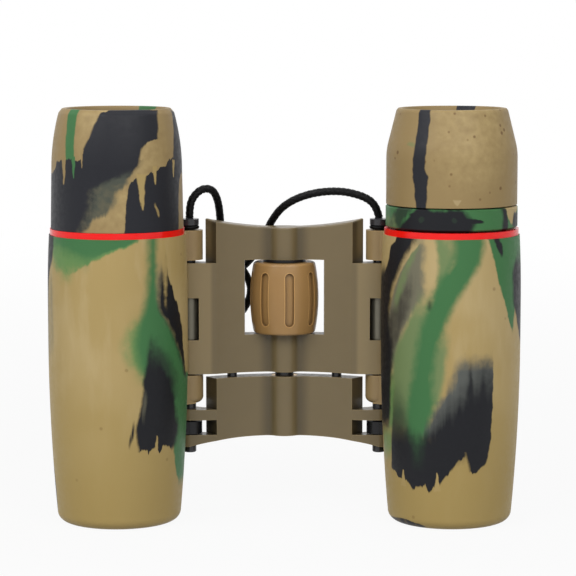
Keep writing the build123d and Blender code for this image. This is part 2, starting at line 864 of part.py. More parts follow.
def biarc_joint(start, start_heading, end, end_heading):
    """Where two arcs meet that leave start and reach end along the given headings."""
    chord = end - start
    both = start_heading + end_heading
    spread = 2 * (1 - start_heading.dot(end_heading))
    reach = (sqrt(chord.dot(both) ** 2 + spread * chord.dot(chord)) - chord.dot(both)) / spread
    return (start + end) / 2 + (start_heading - end_heading) * (reach / 2)


def cord_coil():
    stations = coil_stations()
    first, first_heading = stations[0]
    last, last_heading = stations[-1]
    with BuildPart() as coil:
        with BuildLine() as path:
            Line(first - first_heading * coil_lead, first)
            for (start, leaving), (end, arriving) in zip(stations, stations[1:]):
                joint = biarc_joint(start, leaving, end, arriving)
                TangentArc(start, joint, tangent=leaving)
                TangentArc(joint, end, tangent=arriving * -1, tangent_from_first=False)
            Line(last, last + last_heading * coil_lead)
        with BuildSketch(Plane(origin=first - first_heading * coil_lead, z_dir=first_heading)):
            Circle(cord_radius)
        sweep(path=path.wires()[0])
    wire = path.wires()[0]
    ratio = coil.part.volume / (pi * cord_radius**2 * wire.length)
    print("coil length", round(wire.length, 1), "volume ratio", round(ratio, 4))
    print("coil least gap", round(least_gap(wire), 3))
    return coil.part


def least_gap(wire):
    """Least gap between turns, on points along the wire that lie half a turn or more apart."""
    count = round(wire.length)
    samples = [wire.position_at(step / count) for step in range(count + 1)]
    apart = round(pi * coil_inner)
    least = min(
        (samples[i] - samples[j]).length
        for i in range(count + 1)
        for j in range(i + apart, count + 1)
    )
    return least - 2 * cord_radius


# Routes as chosen by eye: up from the pin, over behind the upper bridge, down to the coil
left_route = [
    (-pin_x, throat_y, throat_top),
    (-pin_x, throat_y, 71.2),
    (-21.4, 10.9, 73.6),
    (-19.3, 11.5, 75.5),
    (-16.9, 12.4, 75.3),
    (-15.7, 13.6, 72.9),
    (-15.2, 14.9, 69.4),
    (-15.0, 16.4, 64.6),
    (-13.2, 18.2, 59.4),
    (-9.4, 19.4, 55.2),
    (-7.6, 19.9, 50.6),
    (-9.4, 20.2, 46.0),
    (-13.6, 20.4, 41.6),
    (-19.0, 20.4, 38.4),
    (-24.0, 20.2, 34.6),
    (-27.4, 19.4, 29.4),
    (-28.8, 18.4, 23.2),
    (-29.6, 17.4, 17.0),
    (-31.6, 16.9, 11.6),
    (-35.6, coil_y - coil_outer, coil_high),
    (coil_x + coil_lead, coil_y - coil_outer, coil_high),
]
right_route = [
    (pin_x, throat_y, throat_top),
    (pin_x - 2 * right_lean, throat_y, throat_top + 2),
    (20.4, 10.9, 72.6),
    (17.9, 11.4, 73.9),
    (13.4, 12.0, 74.9),
    (8.0, 12.8, 74.6),
    (3.2, 13.8, 73.2),
    (-0.4, 15.0, 71.0),
    (-2.6, 16.4, 68.2),
    (-4.4, 18.2, 64.6),
    (-6.2, 20.4, 60.6),
    (-8.4, 22.2, 57.2),
    (-12.2, 23.6, 54.0),
    (-17.4, 24.8, 50.8),
    (-22.2, 26.2, 46.4),
    (-25.8, 28.4, 40.6),
    (-28.0, 31.2, 34.0),
    (-29.0, 34.4, 27.2),
    (-29.2, 37.4, 20.2),
    (-29.4, 39.6, 13.2),
    (-30.8, 40.6, 6.6),
    (-35.0, coil_y + coil_outer, coil_low),
    (coil_x + coil_lead, coil_y + coil_outer, coil_low),
]

keep(cord_eye(-1, 0), "left_cord_eye")
keep(cord_eye(1, right_lean), "right_cord_eye")
cord_run("left_cord_run", left_route)
cord_run("right_cord_run", right_route)
keep(cord_coil(), "cord_coil")

# A flat strap round all the turns of the coil, on its left side
tie_half_width = (coil_outer - coil_inner) / 2 + cord_radius + tie_room
tie_half_height = (coil_high - coil_low) / 2 + cord_radius + tie_room
tie_middle = (coil_x - (coil_inner + coil_outer) / 2, coil_y, (coil_low + coil_high) / 2)
with BuildPart() as tie:
    with BuildSketch(Plane(origin=tie_middle, x_dir=(1, 0, 0), z_dir=(0, -1, 0))):
        RectangleRounded(
            2 * (tie_half_width + tie_thickness),
            2 * (tie_half_height + tie_thickness),
            tie_thickness + tie_room,
        )
        Rectangle(2 * tie_half_width, 2 * tie_half_height, mode=Mode.SUBTRACT)
    extrude(amount=tie_width / 2, both=True)
keep(tie.part, "cord_tie")

print("barrel axis", axis_of(1), "pin", pin_of(1), "spine", spine)
print("rim top", rim_top, "mouth", mouth_radius, "ocular", ocular_low, ocular_top)
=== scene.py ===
import math

import bpy
import numpy as np
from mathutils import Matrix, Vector


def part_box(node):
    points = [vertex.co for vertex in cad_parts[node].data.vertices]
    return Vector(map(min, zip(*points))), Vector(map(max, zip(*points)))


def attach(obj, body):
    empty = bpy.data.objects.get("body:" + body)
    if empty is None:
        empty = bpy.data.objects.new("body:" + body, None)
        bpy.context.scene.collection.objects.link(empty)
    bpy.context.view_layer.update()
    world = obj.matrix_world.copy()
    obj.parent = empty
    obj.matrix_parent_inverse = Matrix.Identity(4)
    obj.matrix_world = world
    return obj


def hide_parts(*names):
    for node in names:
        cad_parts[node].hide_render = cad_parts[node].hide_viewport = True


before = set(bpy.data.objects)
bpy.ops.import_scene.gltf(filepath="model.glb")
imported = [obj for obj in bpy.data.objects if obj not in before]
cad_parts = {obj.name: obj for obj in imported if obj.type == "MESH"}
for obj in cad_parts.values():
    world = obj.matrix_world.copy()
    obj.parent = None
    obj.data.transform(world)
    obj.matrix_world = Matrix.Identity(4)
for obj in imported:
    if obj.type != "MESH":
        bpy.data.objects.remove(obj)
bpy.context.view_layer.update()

MM = 0.001
PHOTO = 576  # the photograph's width and height in pixels
FOCAL_PX = 2482.0
SENSOR_MM = 36.0
CAMERA_PLACE = (0.0, -0.5687, 0.1199)
CAMERA_DOWN, CAMERA_ASIDE = 6.672, -0.085  # degrees below level and off straight ahead
SIGHT_FALL = 7.3  # degrees by which the line of sight to the object's middle falls
CLIP_NEAR, CLIP_FAR = 0.01, 20


def middle(node):
    """Middle of a node seen from above, in millimetres."""
    low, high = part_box(node)
    return (low[0] + high[0]) / 2 / MM, (low[1] + high[1]) / 2 / MM


BARREL_X, BARREL_Y = middle("right_trim_ring")
PIN_X, PIN_Y = middle("right_hinge_pin")
VIEW_RISE = math.tan(math.radians(SIGHT_FALL))

# Camera, at the photograph's angle
camera_data = bpy.data.cameras.new("camera")
camera_data.sensor_width = SENSOR_MM
camera_data.lens = FOCAL_PX / PHOTO * SENSOR_MM
camera_data.clip_start, camera_data.clip_end = CLIP_NEAR, CLIP_FAR
camera = bpy.data.objects.new("camera", camera_data)
camera.location = CAMERA_PLACE
camera.rotation_euler = (math.radians(90 - CAMERA_DOWN), 0, math.radians(CAMERA_ASIDE))
bpy.context.scene.collection.objects.link(camera)
bpy.context.scene.camera = camera
CAMERA_TURN = camera.rotation_euler.to_matrix()


def mesh_object(name, points, faces, smooth=True):
    mesh = bpy.data.meshes.new(name)
    mesh.from_pydata([tuple(p) for p in points], [], faces)
    mesh.validate()
    mesh.update()
    if smooth:
        mesh.shade_smooth()
    piece = bpy.data.objects.new(name, mesh)
    bpy.context.scene.collection.objects.link(piece)
    return piece


# Neck cord: the routes of the CAD runs, and the coil's turns between them, in millimetres
BRAID_RADIUS = 0.96  # on top of the strands
CORD_STEP = 0.25  # between two rings of points along the cord
COIL_X, COIL_Y = -41.0, 28.9007
COIL_INNER, COIL_OUTER, COIL_PITCH = 7.0, 12.2, 2.6
COIL_LOW, COIL_LAYER = 1.45, 2.35
COIL_LAYERS = 4
LAYER_HALF_TURNS = 4  # one more half turn climbs to the next layer
COIL_HALF_TURNS = COIL_LAYERS * (LAYER_HALF_TURNS + 1) - 1
STEPS = 6  # points in each half turn
SPREAD = 4 / (3 + math.cos(math.pi / STEPS))  # the spline runs inside its points by this
SPLINE_ORDER, SPLINE_STEPS = 3, 16

left_route = [
    (-22.2035, 10.659, 68.75), (-22.2035, 10.659, 71.2), (-21.4, 10.9, 73.6), (-19.3, 11.5, 75.5),
    (-16.9, 12.4, 75.3), (-15.7, 13.6, 72.9), (-15.2, 14.9, 69.4), (-15.0, 16.4, 64.6),
    (-13.2, 18.2, 59.4), (-9.4, 19.4, 55.2), (-7.6, 19.9, 50.6), (-9.4, 20.2, 46.0),
    (-13.6, 20.4, 41.6), (-19.0, 20.4, 38.4), (-24.0, 20.2, 34.6), (-27.4, 19.4, 29.4),
    (-28.8, 18.4, 23.2), (-29.6, 17.4, 17.0), (-31.6, 16.9, 11.6), (-35.6, 16.7, 8.5),
]
right_route = [
    (22.2035, 10.659, 68.75), (21.7035, 10.659, 70.75), (20.4, 10.9, 72.6), (17.9, 11.4, 73.9),
    (13.4, 12.0, 74.9), (8.0, 12.8, 74.6), (3.2, 13.8, 73.2), (-0.4, 15.0, 71.0),
    (-2.6, 16.4, 68.2), (-4.4, 18.2, 64.6), (-6.2, 20.4, 60.6), (-8.4, 22.2, 57.2),
    (-12.2, 23.6, 54.0), (-17.4, 24.8, 50.8), (-22.2, 26.2, 46.4), (-25.8, 28.4, 40.6),
    (-28.0, 31.2, 34.0), (-29.0, 34.4, 27.2), (-29.2, 37.4, 20.2), (-29.4, 39.6, 13.2),
    (-30.8, 40.6, 6.6), (-35.0, 41.1, 1.45),
]


def coil_point(step):
    """A point of the coil, counted from its bottom end: layers spiral in and out by turns."""
    half_turn, share = divmod(step, STEPS)
    layer, half = divmod(half_turn, LAYER_HALF_TURNS + 1)
    climbing = half == LAYER_HALF_TURNS
    wound = LAYER_HALF_TURNS if climbing else half + share / STEPS
    rise = share / STEPS if climbing else 0
    radius = COIL_OUTER - wound * COIL_PITCH / 2
    if layer % 2:
        radius = COIL_INNER + wound * COIL_PITCH / 2
    turn = math.pi * (0.5 + step / STEPS)
    return (
        COIL_X + math.cos(turn) * radius * SPREAD,
        COIL_Y + math.sin(turn) * radius * SPREAD,
        COIL_LOW + (layer + rise) * COIL_LAYER,
    )


def spline_points(route, closed=False):
    """Points along the smooth line of a route, in millimetres."""
    data = bpy.data.curves.new("line", "CURVE")
    data.dimensions = "3D"
    data.resolution_u = SPLINE_STEPS
    spline = data.splines.new("NURBS")
    spline.points.add(len(route) - 1)
    for point, place in zip(spline.points, route):
        point.co = (*place, 1)
    spline.order_u = SPLINE_ORDER
    if closed:
        spline.use_cyclic_u = True
    else:
        spline.use_endpoint_u = True
    holder = bpy.data.objects.new("line", data)
    bpy.context.scene.collection.objects.link(holder)
    bpy.context.view_layer.update()
    line = bpy.data.meshes.new_from_object(holder.evaluated_get(bpy.context.evaluated_depsgraph_get()))
    points = np.array([v.co for v in line.vertices], float)
    bpy.data.objects.remove(holder)
    bpy.data.meshes.remove(line)
    bpy.data.curves.remove(data)
    return points


def even_points(points, step):
    """Points about a step apart along a line, and how far along it each is."""
    runs = np.linalg.norm(np.diff(points, axis=0), axis=1)
    along = np.concatenate([[0], np.cumsum(runs)])
    places = np.linspace(0, along[-1], round(along[-1] / step) + 1)
    return np.stack([np.interp(places, along, points[:, k]) for k in range(3)], axis=1), places


BRAID_STRANDS = 6
BRAID_PITCH = 3.4
BRAID_SIDES = 24
BRAID_RELIEF = 0.27  # as a share of the radius
BRAID_UNDER = 0.85  # height of the strand that passes under
ASKEW = (0.31, 0.9, 0.28)  # a direction that no tube starts along


def braid_height(along, around):
    """Relief of a braid, from 0 between strands to 1 on top of one."""
    first = BRAID_STRANDS * around / (2 * math.pi) + BRAID_STRANDS * along / BRAID_PITCH / 2
    second = BRAID_STRANDS * around / (2 * math.pi) - BRAID_STRANDS * along / BRAID_PITCH / 2
    over = np.sin(math.pi * first) * np.sin(math.pi * second) > 0
    crown_first = np.abs(np.sin(math.pi * first))
    crown_second = np.abs(np.sin(math.pi * second))
    return np.where(over, np.sqrt(crown_first), np.sqrt(crown_second) * BRAID_UNDER)


def braided_tube(name, line, radius, step, closed=False):
    """A tube with a braid's relief along a line of points, in millimetres."""
    points, along = even_points(line, step)
    if closed:
        points, along = points[:-1], along[:-1]
        tangents = np.roll(points, -1, axis=0) - np.roll(points, 1, axis=0)
    else:
        tangents = np.gradient(points, axis=0)
    tangents /= np.linalg.norm(tangents, axis=1)[:, None]
    side = np.cross(tangents[0], ASKEW)
    corners = []
    angles = np.linspace(0, 2 * math.pi, BRAID_SIDES, endpoint=False)
    for point, tangent, place in zip(points, tangents, along):
        side = side - tangent * side.dot(tangent)
        side = side / np.linalg.norm(side)
        up = np.cross(tangent, side)
        reach = radius * (1 - BRAID_RELIEF * (1 - braid_height(place, angles)))
        ring = point + np.outer(reach * np.cos(angles), side) + np.outer(reach * np.sin(angles), up)
        corners.append(ring)
    rings = len(corners)
    faces = []
    for i in range(rings if closed else rings - 1):
        here, there = i * BRAID_SIDES, (i + 1) % rings * BRAID_SIDES
        for k in range(BRAID_SIDES):
            after = (k + 1) % BRAID_SIDES
            faces.append((here + k, here + after, there + after, there + k))
    if not closed:
        faces.append(tuple(reversed(range(BRAID_SIDES))))
        faces.append(tuple(range((rings - 1) * BRAID_SIDES, rings * BRAID_SIDES)))
    return mesh_object(name, np.concatenate(corners) * MM, faces), points


coil_route = [coil_point(step) for step in range(COIL_HALF_TURNS * STEPS, -1, -1)]
cord_line = spline_points(left_route + coil_route + right_route[::-1])
neck_cord, cord_path = braided_tube("neck_cord", cord_line, BRAID_RADIUS, CORD_STEP)

# Looped ends of the cord, with a binding round the throat of each
LOOP_REACH, LOOP_HEIGHT = 2.0, 66.85
LOOP_RADIUS, THROAT_RADIUS, BINDING_RADIUS = 0.47, 0.78, 0.19
LOOP_STEP, BINDING_STEP = 0.12, 0.1
LOOP_TURN = 30  # degrees between the loop's points
THROAT_BACK, THROAT_TOP = 3.3, 68.75
THROAT_DROPS = (2.15, 1.1, 0)  # of its points below its top
RIGHT_LEAN = 0.25
BINDING_TURNS, BINDING_POINTS = 4, 12
BINDING_DROP, BINDING_PITCH, BINDING_REACH = 0.55, 0.34, 0.76


def cord_loop(side):
    """The looped end of the cord: round the pin's neck, then up beside itself into a bound throat."""
    name = "left" if side < 0 else "right"
    lean = RIGHT_LEAN if side > 0 else 0.0
    ring = []
    for turn in range(0, 360, LOOP_TURN):
        across = side * PIN_X + LOOP_REACH * math.cos(math.radians(turn))
        ring.append((across, PIN_Y + LOOP_REACH * math.sin(math.radians(turn)), LOOP_HEIGHT))
    loop_line = spline_points(ring, closed=True)
    loop, _ = braided_tube(f"{name}_cord_loop", loop_line, LOOP_RADIUS, LOOP_STEP, closed=True)
    top = np.array((side * PIN_X, PIN_Y + THROAT_BACK, THROAT_TOP))
    down = np.array((side * lean, 0, -1)) / math.hypot(lean, 1)
    throat_line = spline_points([top + down * drop for drop in THROAT_DROPS])
    throat, _ = braided_tube(f"{name}_cord_throat", throat_line, THROAT_RADIUS, LOOP_STEP)
    helix = []
    for step in range(BINDING_TURNS * BINDING_POINTS + 1):
        turn = step / BINDING_POINTS * 2 * math.pi
        drop = BINDING_DROP + BINDING_PITCH * step / BINDING_POINTS
        helix.append(top + down * drop + BINDING_REACH * np.array((math.cos(turn), math.sin(turn), 0)))
    binding_line = spline_points(helix)
    binding, _ = braided_tube(f"{name}_cord_binding", binding_line, BINDING_RADIUS, BINDING_STEP)
    for piece in (loop, throat, binding):
        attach(piece, "bridge")
    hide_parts(f"{name}_cord_eye")
    return [loop, throat, binding]


# Strap that ties the coil
STRAP_GAP, STRAP_CORNER = 0.08, 1.0
STRAP_HALF, STRAP_THICK, STRAP_CROWN = 1.5, 0.34, 0.12
STRAP_POINTS = 7  # across the strap, and round each of its corners


def tie_strap():
    """A flat strap round all the turns of the coil, crowned on its outside."""
    half_stack = (COIL_LAYERS - 1) / 2 * COIL_LAYER
    centre = (COIL_X - (COIL_INNER + COIL_OUTER) / 2, COIL_Y, COIL_LOW + half_stack)
    half_wide = (COIL_OUTER - COIL_INNER) / 2 + BRAID_RADIUS + STRAP_GAP
    half_high = half_stack + BRAID_RADIUS + STRAP_GAP
    outline = []
    for quarter, (sx, sz) in enumerate(((1, 1), (-1, 1), (-1, -1), (1, -1))):
        for step in range(STRAP_POINTS):
            turn = math.radians(90 * quarter + 90 * step / (STRAP_POINTS - 1))
            outline.append((
                sx * (half_wide - STRAP_CORNER) + STRAP_CORNER * math.cos(turn),
                sz * (half_high - STRAP_CORNER) + STRAP_CORNER * math.sin(turn),
            ))
    widths = np.linspace(-STRAP_HALF, STRAP_HALF, STRAP_POINTS)
    points, faces = [], []
    for layer, lift in enumerate((0.0, STRAP_THICK)):
        for x, z in outline:
            out = Vector((x, z)).normalized() * lift
            for w in widths:
                crown = STRAP_CROWN * (1 - (w / STRAP_HALF) ** 4) * layer
                points.append((
                    centre[0] + x + out.x * (1 + crown),
                    centre[1] + w,
                    centre[2] + z + out.y * (1 + crown),
                ))
    count, across = len(outline), len(widths)

    def index(layer, i, k):
        return (layer * count + i % count) * across + k

    for i in range(count):
        for k in range(across - 1):
            faces.append((index(1, i, k), index(1, i + 1, k), index(1, i + 1, k + 1), index(1, i, k + 1)))
            faces.append((index(0, i, k), index(0, i, k + 1), index(0, i + 1, k + 1), index(0, i + 1, k)))
        for k, flip in ((0, False), (across - 1, True)):
            edge = (index(0, i, k), index(0, i + 1, k), index(1, i + 1, k), index(1, i, k))
            faces.append(tuple(reversed(edge)) if flip else edge)
    strap = mesh_object("cord_strap", np.array(points) * MM, faces)
    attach(strap, "bridge")
    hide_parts("cord_tie")
    return strap


left_loop = cord_loop(-1)
right_loop = cord_loop(1)
strap = tie_strap()
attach(neck_cord, "bridge")
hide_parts("left_cord_run", "cord_coil", "right_cord_run")


# Materials
def srgb(red, green, blue):
    """A colour as it shows on screen, 0 to 255, turned into a shader's linear colour."""
    shares = [v / 255 for v in (red, green, blue)]
    return (*[v / 12.92 if v <= 0.04045 else ((v + 0.055) / 1.055) ** 2.4 for v in shares], 1.0)


CREASE_SAMPLES = 8


class Nodes:
    """Short calls for the nodes of a material or the world."""

    def __init__(self, tree):
        self.tree = tree

    def put(self, socket, value):
        if isinstance(value, bpy.types.NodeSocket):
            self.tree.links.new(value, socket)
        else:
            socket.default_value = value

    def fill(self, node, inputs):
        """Puts values or sockets into a node's inputs, whose names have _ for spaces."""
        for name, value in inputs.items():
            self.put(node.inputs[name.replace("_", " ")], value)

    def new(self, kind, **inputs):
        node = self.tree.nodes.new(f"ShaderNode{kind}")
        self.fill(node, inputs)
        return node

    def math(self, operation, *values, clamp=False):
        node = self.new("Math")
        node.operation = operation
        node.use_clamp = clamp
        for socket, value in zip(node.inputs, values):
            self.put(socket, value)
        return node.outputs[0]

    def times(self, first, second):
        return self.math("MULTIPLY", first, second)

    def ramp(self, value, low, high, start=0.0, end=1.0, course="LINEAR"):
        """From start below low to end above high."""
        node = self.new("MapRange", Value=value, From_Min=low, From_Max=high, To_Min=start, To_Max=end)
        node.interpolation_type = course
        return node.outputs[0]

    def step(self, value, low, high, start=0.0, end=1.0):
        """A ramp with smooth ends."""
        return self.ramp(value, low, high, start, end, "SMOOTHSTEP")

    def split(self, vector):
        return self.new("SeparateXYZ", Vector=vector).outputs

    def white_rays(self):
        """1 for rays that show the background: from the camera, and through gloss and glass."""
        path = self.new("LightPath").outputs
        total = path["Is Camera Ray"]
        for name in ("Is Glossy Ray", "Is Transmission Ray"):
            total = self.math("MAXIMUM", total, path[name])
        return total


class Look(Nodes):
    """A material."""

    def __init__(self, name, roughness, **settings):
        self.material = bpy.data.materials.new(name)
        self.material.use_nodes = True
        super().__init__(self.material.node_tree)
        self.shader = self.tree.nodes["Principled BSDF"]
        self.fill(self.shader, {"Roughness": roughness, **settings})
        self.place = self.new("TexCoord").outputs["Object"]

    def set(self, name, value):
        self.put(self.shader.inputs[name], value)

    def stretched(self, x, y, z):
        node = self.new("VectorMath")
        node.operation = "MULTIPLY"
        self.put(node.inputs[0], self.place)
        node.inputs[1].default_value = (x, y, z)
        return node.outputs[0]

    def noise(self, scale, detail=2.0, vector=None):
        node = self.new("TexNoise", Scale=scale, Detail=detail, Vector=vector or self.place)
        return node.outputs["Fac"]

    def mix(self, share, first, second):
        node = self.new("Mix")
        node.data_type = "RGBA"
        self.put(node.inputs[0], share)
        self.put(node.inputs[6], first)
        self.put(node.inputs[7], second)
        return node.outputs[2]

    def curve(self, value, points):
        """A line through (input, output) points, both from 0 to 1, level past its ends."""
        node = self.new("FloatCurve", Value=value)
        line = node.mapping.curves[0]
        points = sorted(points)
        line.points[0].location, line.points[1].location = points[0], points[-1]
        for place in points[1:-1]:
            line.points.new(*place)
        node.mapping.extend = "HORIZONTAL"
        node.mapping.update()
        return node.outputs[0]

    def hidden(self, reach, low, high, share, inside=False):
        """share in creases, or on edges where inside is set, by how much lies within reach of a point."""
        node = self.new("AmbientOcclusion", Distance=reach * MM)
        node.samples = CREASE_SAMPLES
        node.only_local = True
        node.inside = inside
        return self.step(node.outputs["AO"], low, high, share, 0.0)

    def bump(self, height, distance, strength=1.0):
        node = self.new("Bump", Strength=strength, Distance=distance, Height=height)
        self.set("Normal", node.outputs[0])

    def dress(self, *names):
        for name in names:
            piece = bpy.data.objects[name]
            piece.data.materials.clear()
            piece.data.materials.append(self.material)


TAN = srgb(181, 159, 111)
TAN_WARM = srgb(171, 148, 96)
TAN_PALE = srgb(190, 170, 128)
# Painted shade of the barrels' tan near the foot.
TAN_LOW_SHADE = srgb(164, 141, 85)
TAN_CUP = srgb(149, 127, 86)
GREEN = srgb(63, 112, 67)
GREEN_PALE = srgb(112, 131, 86)
GREEN_LIGHT = srgb(101, 136, 80)
GREEN_DARK = srgb(42, 62, 45)
SMEAR = srgb(113, 110, 91)
SMEAR_DARK = srgb(66, 63, 55)
SMOKE = srgb(74, 78, 68)
BLACK = srgb(20, 21, 26)
SPECK = srgb(104, 72, 40)
# The eyecups' black is painted lighter than BLACK, as a painted sheen.
CUP_BLACK_SHEEN = srgb(31, 32, 38)
ASH = srgb(88, 91, 87)
SHADE = srgb(40, 34, 32)

# Camouflage
HIT_ROUNDS = 4  # a ray's hit and the radius there settle in so many
WANDER_TURN, WANDER_RISE = 3.4, 1.0  # of a stroke's outline, in degrees and millimetres
FOOT_LOW, FOOT_HIGH = 6 * MM, 46 * MM  # between which a barrel's tan turns from its painted shade at the foot
RIM_INSIDE, RIM_EDGE = 10.6 * MM, 11.5 * MM
SWING = 2.5  # brings the streaks' usual spread of 0.4 to 1
MOTTLE = 12
SPECK_CELL = 1 / 340  # metres, about 3 mm
GRAIN_DEPTH = 0.03 * MM


def seen_on(centre_x, profile, px, py):
    """Turn in degrees from the front and apparent height in millimetres, where the camera's ray
    through a point of the photograph meets a barrel; profile holds (height, radius) points."""
    ray = CAMERA_TURN @ Vector(((px - PHOTO / 2) / FOCAL_PX, (PHOTO / 2 - py) / FOCAL_PX, -1))
    start = camera.location / MM - Vector((centre_x, BARREL_Y, 0))
    heights, radii = zip(*profile)
    radius = radii[0]
    for _ in range(HIT_ROUNDS):
        a = ray.x**2 + ray.y**2
        b = start.x * ray.x + start.y * ray.y
        c = start.x**2 + start.y**2 - radius**2
        hit = start + ray * ((-b - math.sqrt(max(b * b - a * c, 0))) / a)
        radius = float(np.interp(hit.z, heights, radii))
    return math.degrees(math.atan2(hit.x, -hit.y)), hit.z + hit.y * VIEW_RISE


class Camo(Look):
    """A base colour with brush strokes, each a colour between a left and a right edge down the barrel."""

    def __init__(self, name, centre_x, profile, low, high, base):
        super().__init__(name, 0.5, Specular_IOR_Level=0.25)
        self.centre_x, self.profile = centre_x, profile
        self.low, self.high = low, high
        x, y, z = self.split(self.place)
        right = self.math("SUBTRACT", x, centre_x * MM)
        back = self.math("SUBTRACT", y, BARREL_Y * MM)
        square = self.math("MULTIPLY_ADD", right, right, self.times(back, back))
        self.radius = self.math("SQRT", square)
        turn = self.math("ARCTAN2", right, self.times(back, -1))
        height = self.math("MULTIPLY_ADD", back, VIEW_RISE, z)
        wander = self.math("SUBTRACT", self.noise(420, 3), 0.5)
        self.turn = self.math("MULTIPLY_ADD", turn, 180 / math.pi, self.times(wander, WANDER_TURN))
        self.height = self.math("MULTIPLY_ADD", height, 1 / MM, self.times(wander, WANDER_RISE))
        self.up = self.math("DIVIDE", self.math("SUBTRACT", self.height, low), high - low)
        self.streak = self.noise(820, 3, self.stretched(1, 1, 0.05))
        self.jag = self.math("SUBTRACT", self.streak, 0.5)
        self.cloud = self.math("SUBTRACT", self.noise(560, 4), 0.5)
        drift = self.step(self.noise(45, 2), 0.35, 0.65)
        brushed = self.step(self.noise(260, 3, self.stretched(1, 1, 0.25)), 0.45, 0.75, 0.0, 0.4)
        if base == TAN:
            # Painted shade: the tan turns darker towards the foot.
            low_shade = self.step(z, FOOT_LOW, FOOT_HIGH, 0.85, 0.0)
            base = self.mix(brushed, self.mix(drift, TAN, TAN_WARM), TAN_PALE)
            base = self.mix(low_shade, base, TAN_LOW_SHADE)
        self.colour = base

    def speckle(self, share, cover=0.8):
        """A small brown speck in that share of the cells."""
        dots = self.new("TexVoronoi", Scale=1 / SPECK_CELL, Vector=self.place).outputs
        chance = self.new("SeparateColor", Color=dots["Color"]).outputs[0]
        few = self.step(chance, 1 - share, 1.04 - share)
        small = self.step(dots["Distance"], 0.08, 0.19, cover, 0.0)
        self.colour = self.mix(self.times(small, few), self.colour, SPECK)

    def edge(self, rows, up):
        """The turn of an edge at each share of the way up, from (height, turn) points."""
        span = self.high - self.low
        points = [((height - self.low) / span, (turn + 180) / 360) for height, turn in rows]
        share = self.curve(up, points)
        return self.math("MULTIPLY_ADD", share, 360, -180)

    def stroke(self, colour, rows, soft=(1, 1, 0.4, 0.4), to_left=None, to_right=None, **brush):
        """rows hold (level, left, right) in the photograph's pixels. soft is the fade at the left and the
        right in degrees and at the top and the bottom in millimetres. An edge out of sight has its turn
        in to_left or to_right."""
        left = [seen_on(self.centre_x, self.profile, a, level)[::-1] for level, a, _ in rows]
        right = [seen_on(self.centre_x, self.profile, b, level)[::-1] for level, _, b in rows]
        if to_left is not None:
            left = [(height, to_left) for height, _ in left]
        if to_right is not None:
            right = [(height, to_right) for height, _ in right]
        self.paint(colour, left, right, soft, **brush)

    def back_stroke(self, colour, rows, soft=(1, 1, 0.4, 0.4), **brush):
        """A stroke out of the photograph's sight: rows hold (height, left turn, right turn)."""
        left = [(height, a) for height, a, _ in rows]
        right = [(height, b) for height, _, b in rows]
        self.paint(colour, left, right, soft, **brush)

    def paint(self, colour, left, right, soft, rag=(0, 0), drag=0.0, dry=0.0, smoke=0.0, cover=1.0):
        """rag is the ragged length of the top and the bottom, and drag of the sides, in millimetres; dry
        is the share that the brush's streaks leave out of a fade, smoke the mottling of a fade and cover
        the share of the colour where it is fullest."""
        top = (left[0][0] + right[0][0]) / 2
        bottom = (left[-1][0] + right[-1][0]) / 2
        upper = self.math("SUBTRACT", top, self.height)
        lower = self.math("SUBTRACT", self.height, bottom)
        up = self.up
        if rag[0]:
            upper = self.math("MULTIPLY_ADD", self.jag, SWING * rag[0], upper)
        if rag[1]:
            lower = self.math("MULTIPLY_ADD", self.jag, SWING * rag[1], lower)
        if drag:
            up = self.math("MULTIPLY_ADD", self.jag, SWING * drag / (self.high - self.low), up)
        sides = (
            self.math("SUBTRACT", self.turn, self.edge(left, up)),
            self.math("SUBTRACT", self.edge(right, up), self.turn),
            upper,
            lower,
        )
        share = cover
        for distance, fade in zip(sides, soft):
            share = self.times(share, self.step(distance, -fade / 2, fade / 2))
        if dry:
            thin = self.times(self.step(self.streak, 0.3, 0.7), dry)
            share = self.math("DIVIDE", self.math("SUBTRACT", share, thin), 1 - dry, clamp=True)
        if smoke:
            open_part = self.times(share, self.math("SUBTRACT", 1, share))
            cloud = self.times(self.cloud, self.times(open_part, MOTTLE * smoke))
            share = self.math("ADD", share, cloud, clamp=True)
        self.colour = self.mix(share, self.colour, colour)

    def done(self, name, hollow=0.0):
        """hollow is the share of shade inside an eyecup's rim."""
        if hollow:
            inside = self.step(self.radius, RIM_INSIDE, RIM_EDGE, hollow, 0.0)
            self.colour = self.mix(inside, self.colour, SHADE)
        self.set("Base Color", self.colour)
        self.set("Roughness", self.step(self.noise(900, 3), 0.3, 0.7, 0.42, 0.54))
        self.bump(self.noise(5200, 2), GRAIN_DEPTH, 0.6)
        self.dress(name)


# Heights and radii of what is painted, in millimetres
LEFT_CUP = [(67.75, 15.15), (83.0, 14.85), (88.5, 14.3), (94.0, 13.15), (95.0, 12.3)]
RIGHT_CUP = [(73.25, 14.95), (84.5, 14.95), (94.5, 12.7), (95.0, 12.3)]
RING = [(68.0, 15.05), (73.0, 15.05)]
BARREL = [
    (0.0, 12.0), (2.4, 14.25), (10.0, 14.85), (20.0, 15.46), (30.0, 15.84), (42.0, 16.0), (52.0, 16.0),
    (66.3, 15.6),
]

# Left eyecup
cup = Camo("camo_left_eyecup", -BARREL_X, LEFT_CUP, low=62, high=98, base=TAN_CUP)
